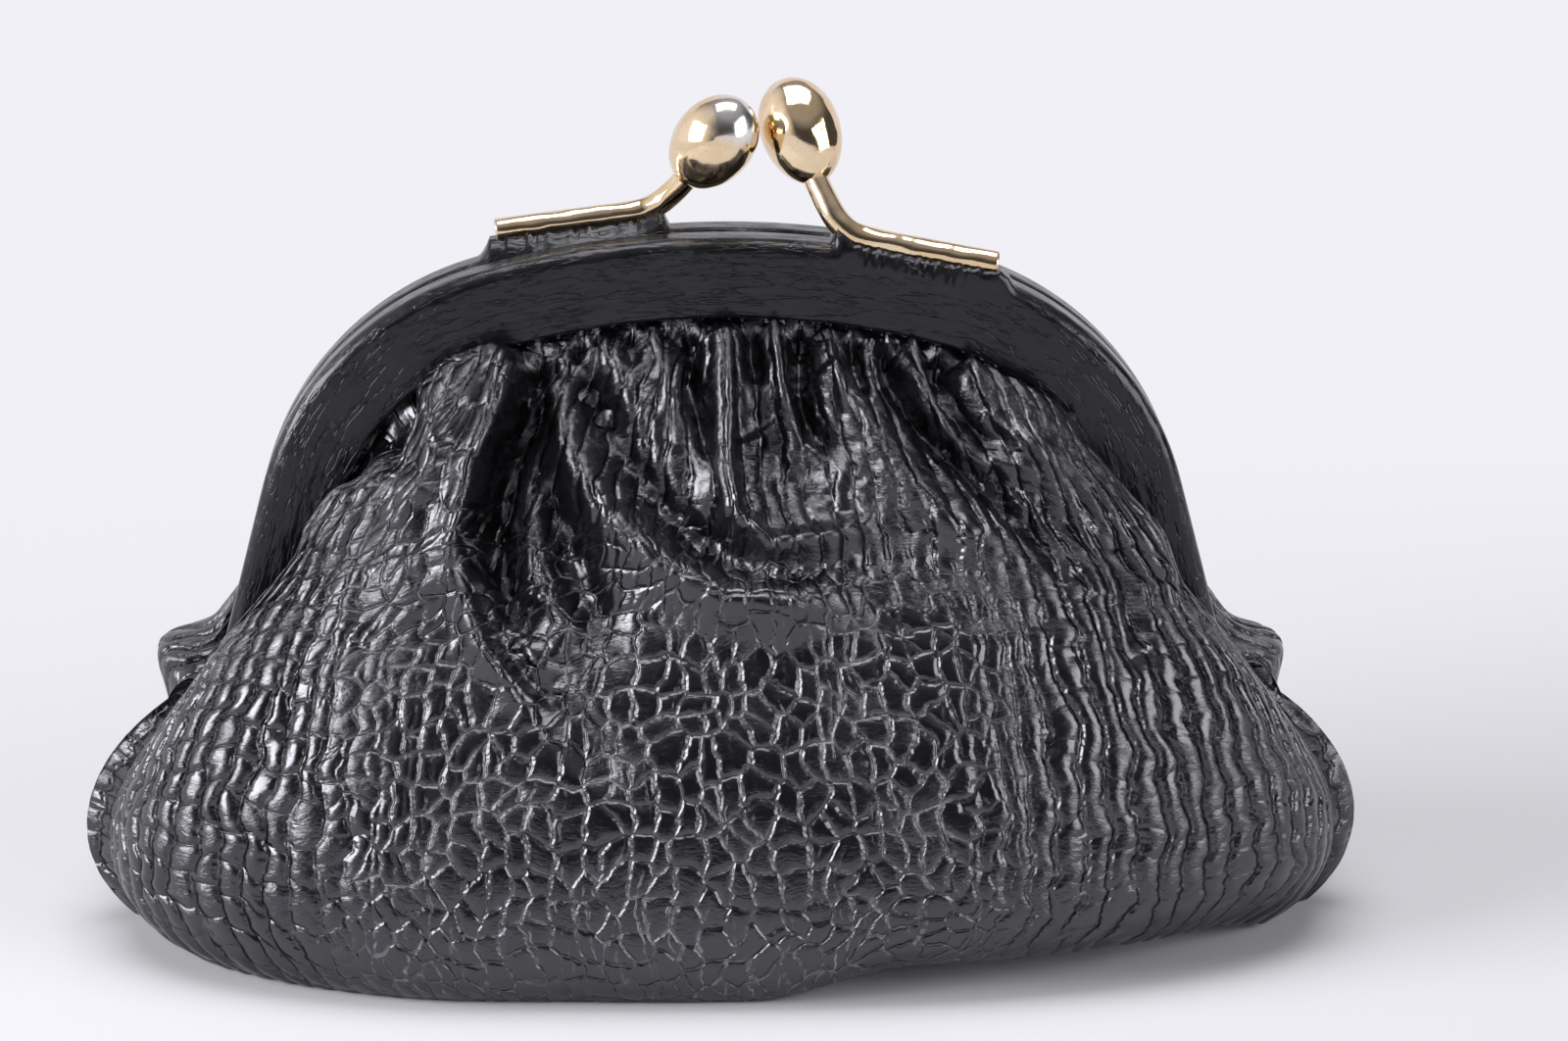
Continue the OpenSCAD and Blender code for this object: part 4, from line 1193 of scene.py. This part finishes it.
def seamThread(name, shape, thickness):
    ts = np.linspace(stitch["firstShare"], 0.97, 200)
    ends = skin(np.zeros_like(ts), ts, shape)
    shares, run = evenShares(np.linalg.norm(np.diff(ends, axis=0), axis=1), 200)
    count = int(run / stitch["pitch"])
    at = np.interp(np.arange(count) / count, np.linspace(0, 1, 200), shares)
    x = np.interp(at, np.linspace(0, 1, 200), ends[:, 0]) - thickness / 2
    z = np.interp(at, np.linspace(0, 1, 200), ends[:, 2])
    half = shape["length"] - pouch["seamInset"]
    along = np.arange(-half, half, stitch["pitch"])
    low = np.full_like(along, shape["floor"] + thickness / 2)
    points = np.concatenate([np.stack([x, 0 * x, z], -1), np.stack([-x, 0 * x, z], -1),
                             np.stack([along, 0 * along, low], -1)])
    piece = addMesh(name, points, [], threadFibre)
    worked(piece, stitches, {"Length": stitch["length"] / 2 * mm, "Thickness": stitch["thick"] * mm,
                             "Thread": threadFibre})
    return piece


frontCord = twistedCord("frontCord", -1)
backCord = twistedCord("backCord", 1)
leatherThread = seamThread("leatherThread", leatherShape, sheets["leather"])
liningThread = seamThread("liningThread", liningShape, sheets["lining"])
for name, material in (("front_channel", frameSteel), ("back_channel", frameSteel),
                       ("left_rivet", rivetMetal), ("right_rivet", rivetMetal)):
    nodes[name].data.materials.clear()
    nodes[name].data.materials.append(material)
print("small parts made")


# Each piece, its body, the CAD node it stands for and the name of its finish: the CAD nodes are hidden,
# and all pieces but the leathers and linings are attached to their bodies

for piece, half, stands, finish in (
        (frontLeather, "front_half", "front_panel", "pouch_leather"),
        (backLeather, "back_half", "back_panel", "pouch_leather"),
        (frontLining, "front_half", "front_lining", "lining_cloth"),
        (backLining, "back_half", "back_lining", "lining_cloth")):
    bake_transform(piece)
    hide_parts(stands)
for piece, body, stands, finish in (
        (frontCover, "front_half", "front_cover", "cover_leather"),
        (backCover, "back_half", "back_cover", "cover_leather"),
        (frontRod, "front_half", "front_clasp_arm", "clasp_gold"),
        (backRod, "back_half", "back_clasp_arm", "clasp_gold"),
        (frontBall, "front_half", "front_clasp_ball", "clasp_gold"),
        (backBall, "back_half", "back_clasp_ball", "clasp_gold"),
        (frontCord, "front_half", "front_paper_cord", "paper_cord"),
        (backCord, "back_half", "back_paper_cord", "paper_cord"),
        (leatherThread, "pouch", "panel_seam_thread", "thread"),
        (liningThread, "pouch", "lining_seam_thread", "thread")):
    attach(piece, body)
    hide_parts(stands)


# Studio: a pale sweep of paper and soft boxes

studio = {
    "width": 3.0, "front": -3.0, "bend": 1.5, "radius": 0.35, "height": 1.6,
    "behind": (0.02, 0.20), "away": (0.16, 0.34),   # where the floor turns into pale paper
    "floor": (0.71, 0.71, 0.75, 1), "wall": (0.76, 0.76, 0.80, 1), "glow": (0.875, 0.870, 0.925, 1),
    "air": (0.90, 0.895, 0.945, 1), "dim": 0.08, "eye": 0.89,
    "ceiling": (0.35, 0.85, 0.0, 0.36), "leftWall": (-0.25, -0.80, 0.0, 1.0),
}
lamps = {
    "windowLeft": ((-0.60, -0.22, 0.27), (0, 0, 0.04), (0.42, 0.32), 5.1),
    "overhead": ((0.0, 0.04, 0.80), (0, 0, 0.03), (0.62, 0.46), 4.2),
    "fillRight": ((0.58, -0.34, 0.24), (0, 0, 0.04), (0.50, 0.38), 2.9),
}


def paperMaterial():
    material, tree, surface = newMaterial("palePaper")
    place = objectPlace(tree)
    behind = ramp(tree, parted(tree, place)["Y"], *studio["behind"])
    distance = node(tree, "ShaderNodeVectorMath", {0: place}, operation="LENGTH").outputs["Value"]
    away = math2(tree, "MAXIMUM", behind, ramp(tree, distance, *studio["away"]))
    connect(tree, surface, {"Base Color": blendColour(tree, behind, studio["floor"], studio["wall"]),
                            "Roughness": 0.9, "Specular IOR Level": 0.2})
    # away from the object the sweep shows as pale paper to the eye and in reflections, and lights nothing
    rays = node(tree, "ShaderNodeLightPath").outputs
    seen = math2(tree, "MAXIMUM", math2(tree, "MAXIMUM", rays["Is Camera Ray"], rays["Is Glossy Ray"]),
                 rays["Is Transmission Ray"])
    glow = node(tree, "ShaderNodeEmission", {"Color": studio["glow"]})
    mix = node(tree, "ShaderNodeMixShader", {0: times(tree, seen, away), 1: surface.outputs[0],
               2: glow.outputs[0]})
    out = next(n for n in tree.nodes if n.bl_idname == "ShaderNodeOutputMaterial")
    connect(tree, out, {"Surface": mix.outputs[0]})
    return material


def makeSweep():
    profile = [(studio["front"], 0.0), (studio["bend"], 0.0)]
    for a in np.linspace(0, 90, 24)[1:]:
        profile.append((studio["bend"] + studio["radius"] * math.sin(math.radians(a)),
                        studio["radius"] - studio["radius"] * math.cos(math.radians(a))))
    profile.append((studio["bend"] + studio["radius"], studio["height"]))
    points = [(x * studio["width"] / mm, y / mm, z / mm) for x in (-1, 1) for y, z in profile]
    sweep = addMesh("paperSweep", points, gridFaces(2, len(profile)), paperMaterial())


def softBox(name, place, aim, size, power):
    data = bpy.data.lights.new(name, "AREA")
    data.shape = "RECTANGLE"
    data.size, data.size_y = size
    data.energy = power
    lamp = bpy.data.objects.new(name, data)
    bpy.context.scene.collection.objects.link(lamp)
    lamp.location = place
    lamp.rotation_euler = (Vector(aim) - Vector(place)).to_track_quat("-Z", "Y").to_euler()


makeSweep()
for name, settings in lamps.items():
    softBox(name, *settings)
world = bpy.data.worlds.new("studio")
bpy.context.scene.world = world
world.use_nodes = True
air = world.node_tree
rays = node(air, "ShaderNodeLightPath").outputs
# a pale room to the eye; in reflections it is dark, with a pale ceiling and left wall
way = parted(air, node(air, "ShaderNodeTexCoord").outputs["Generated"])
ceiling = ramp(air, way["Z"], *studio["ceiling"])
around = math2(air, "MAXIMUM", ceiling, ramp(air, way["X"], *studio["leftWall"]))
around = times(air, around, rays["Is Glossy Ray"])
eye = times(air, rays["Is Camera Ray"], studio["eye"])
strength = added(air, studio["dim"], math2(air, "MAXIMUM", around, eye))
connect(air, air.nodes["Background"], {0: studio["air"], 1: strength})
bpy.context.scene.view_settings.view_transform = "Standard"
print("studio lit")
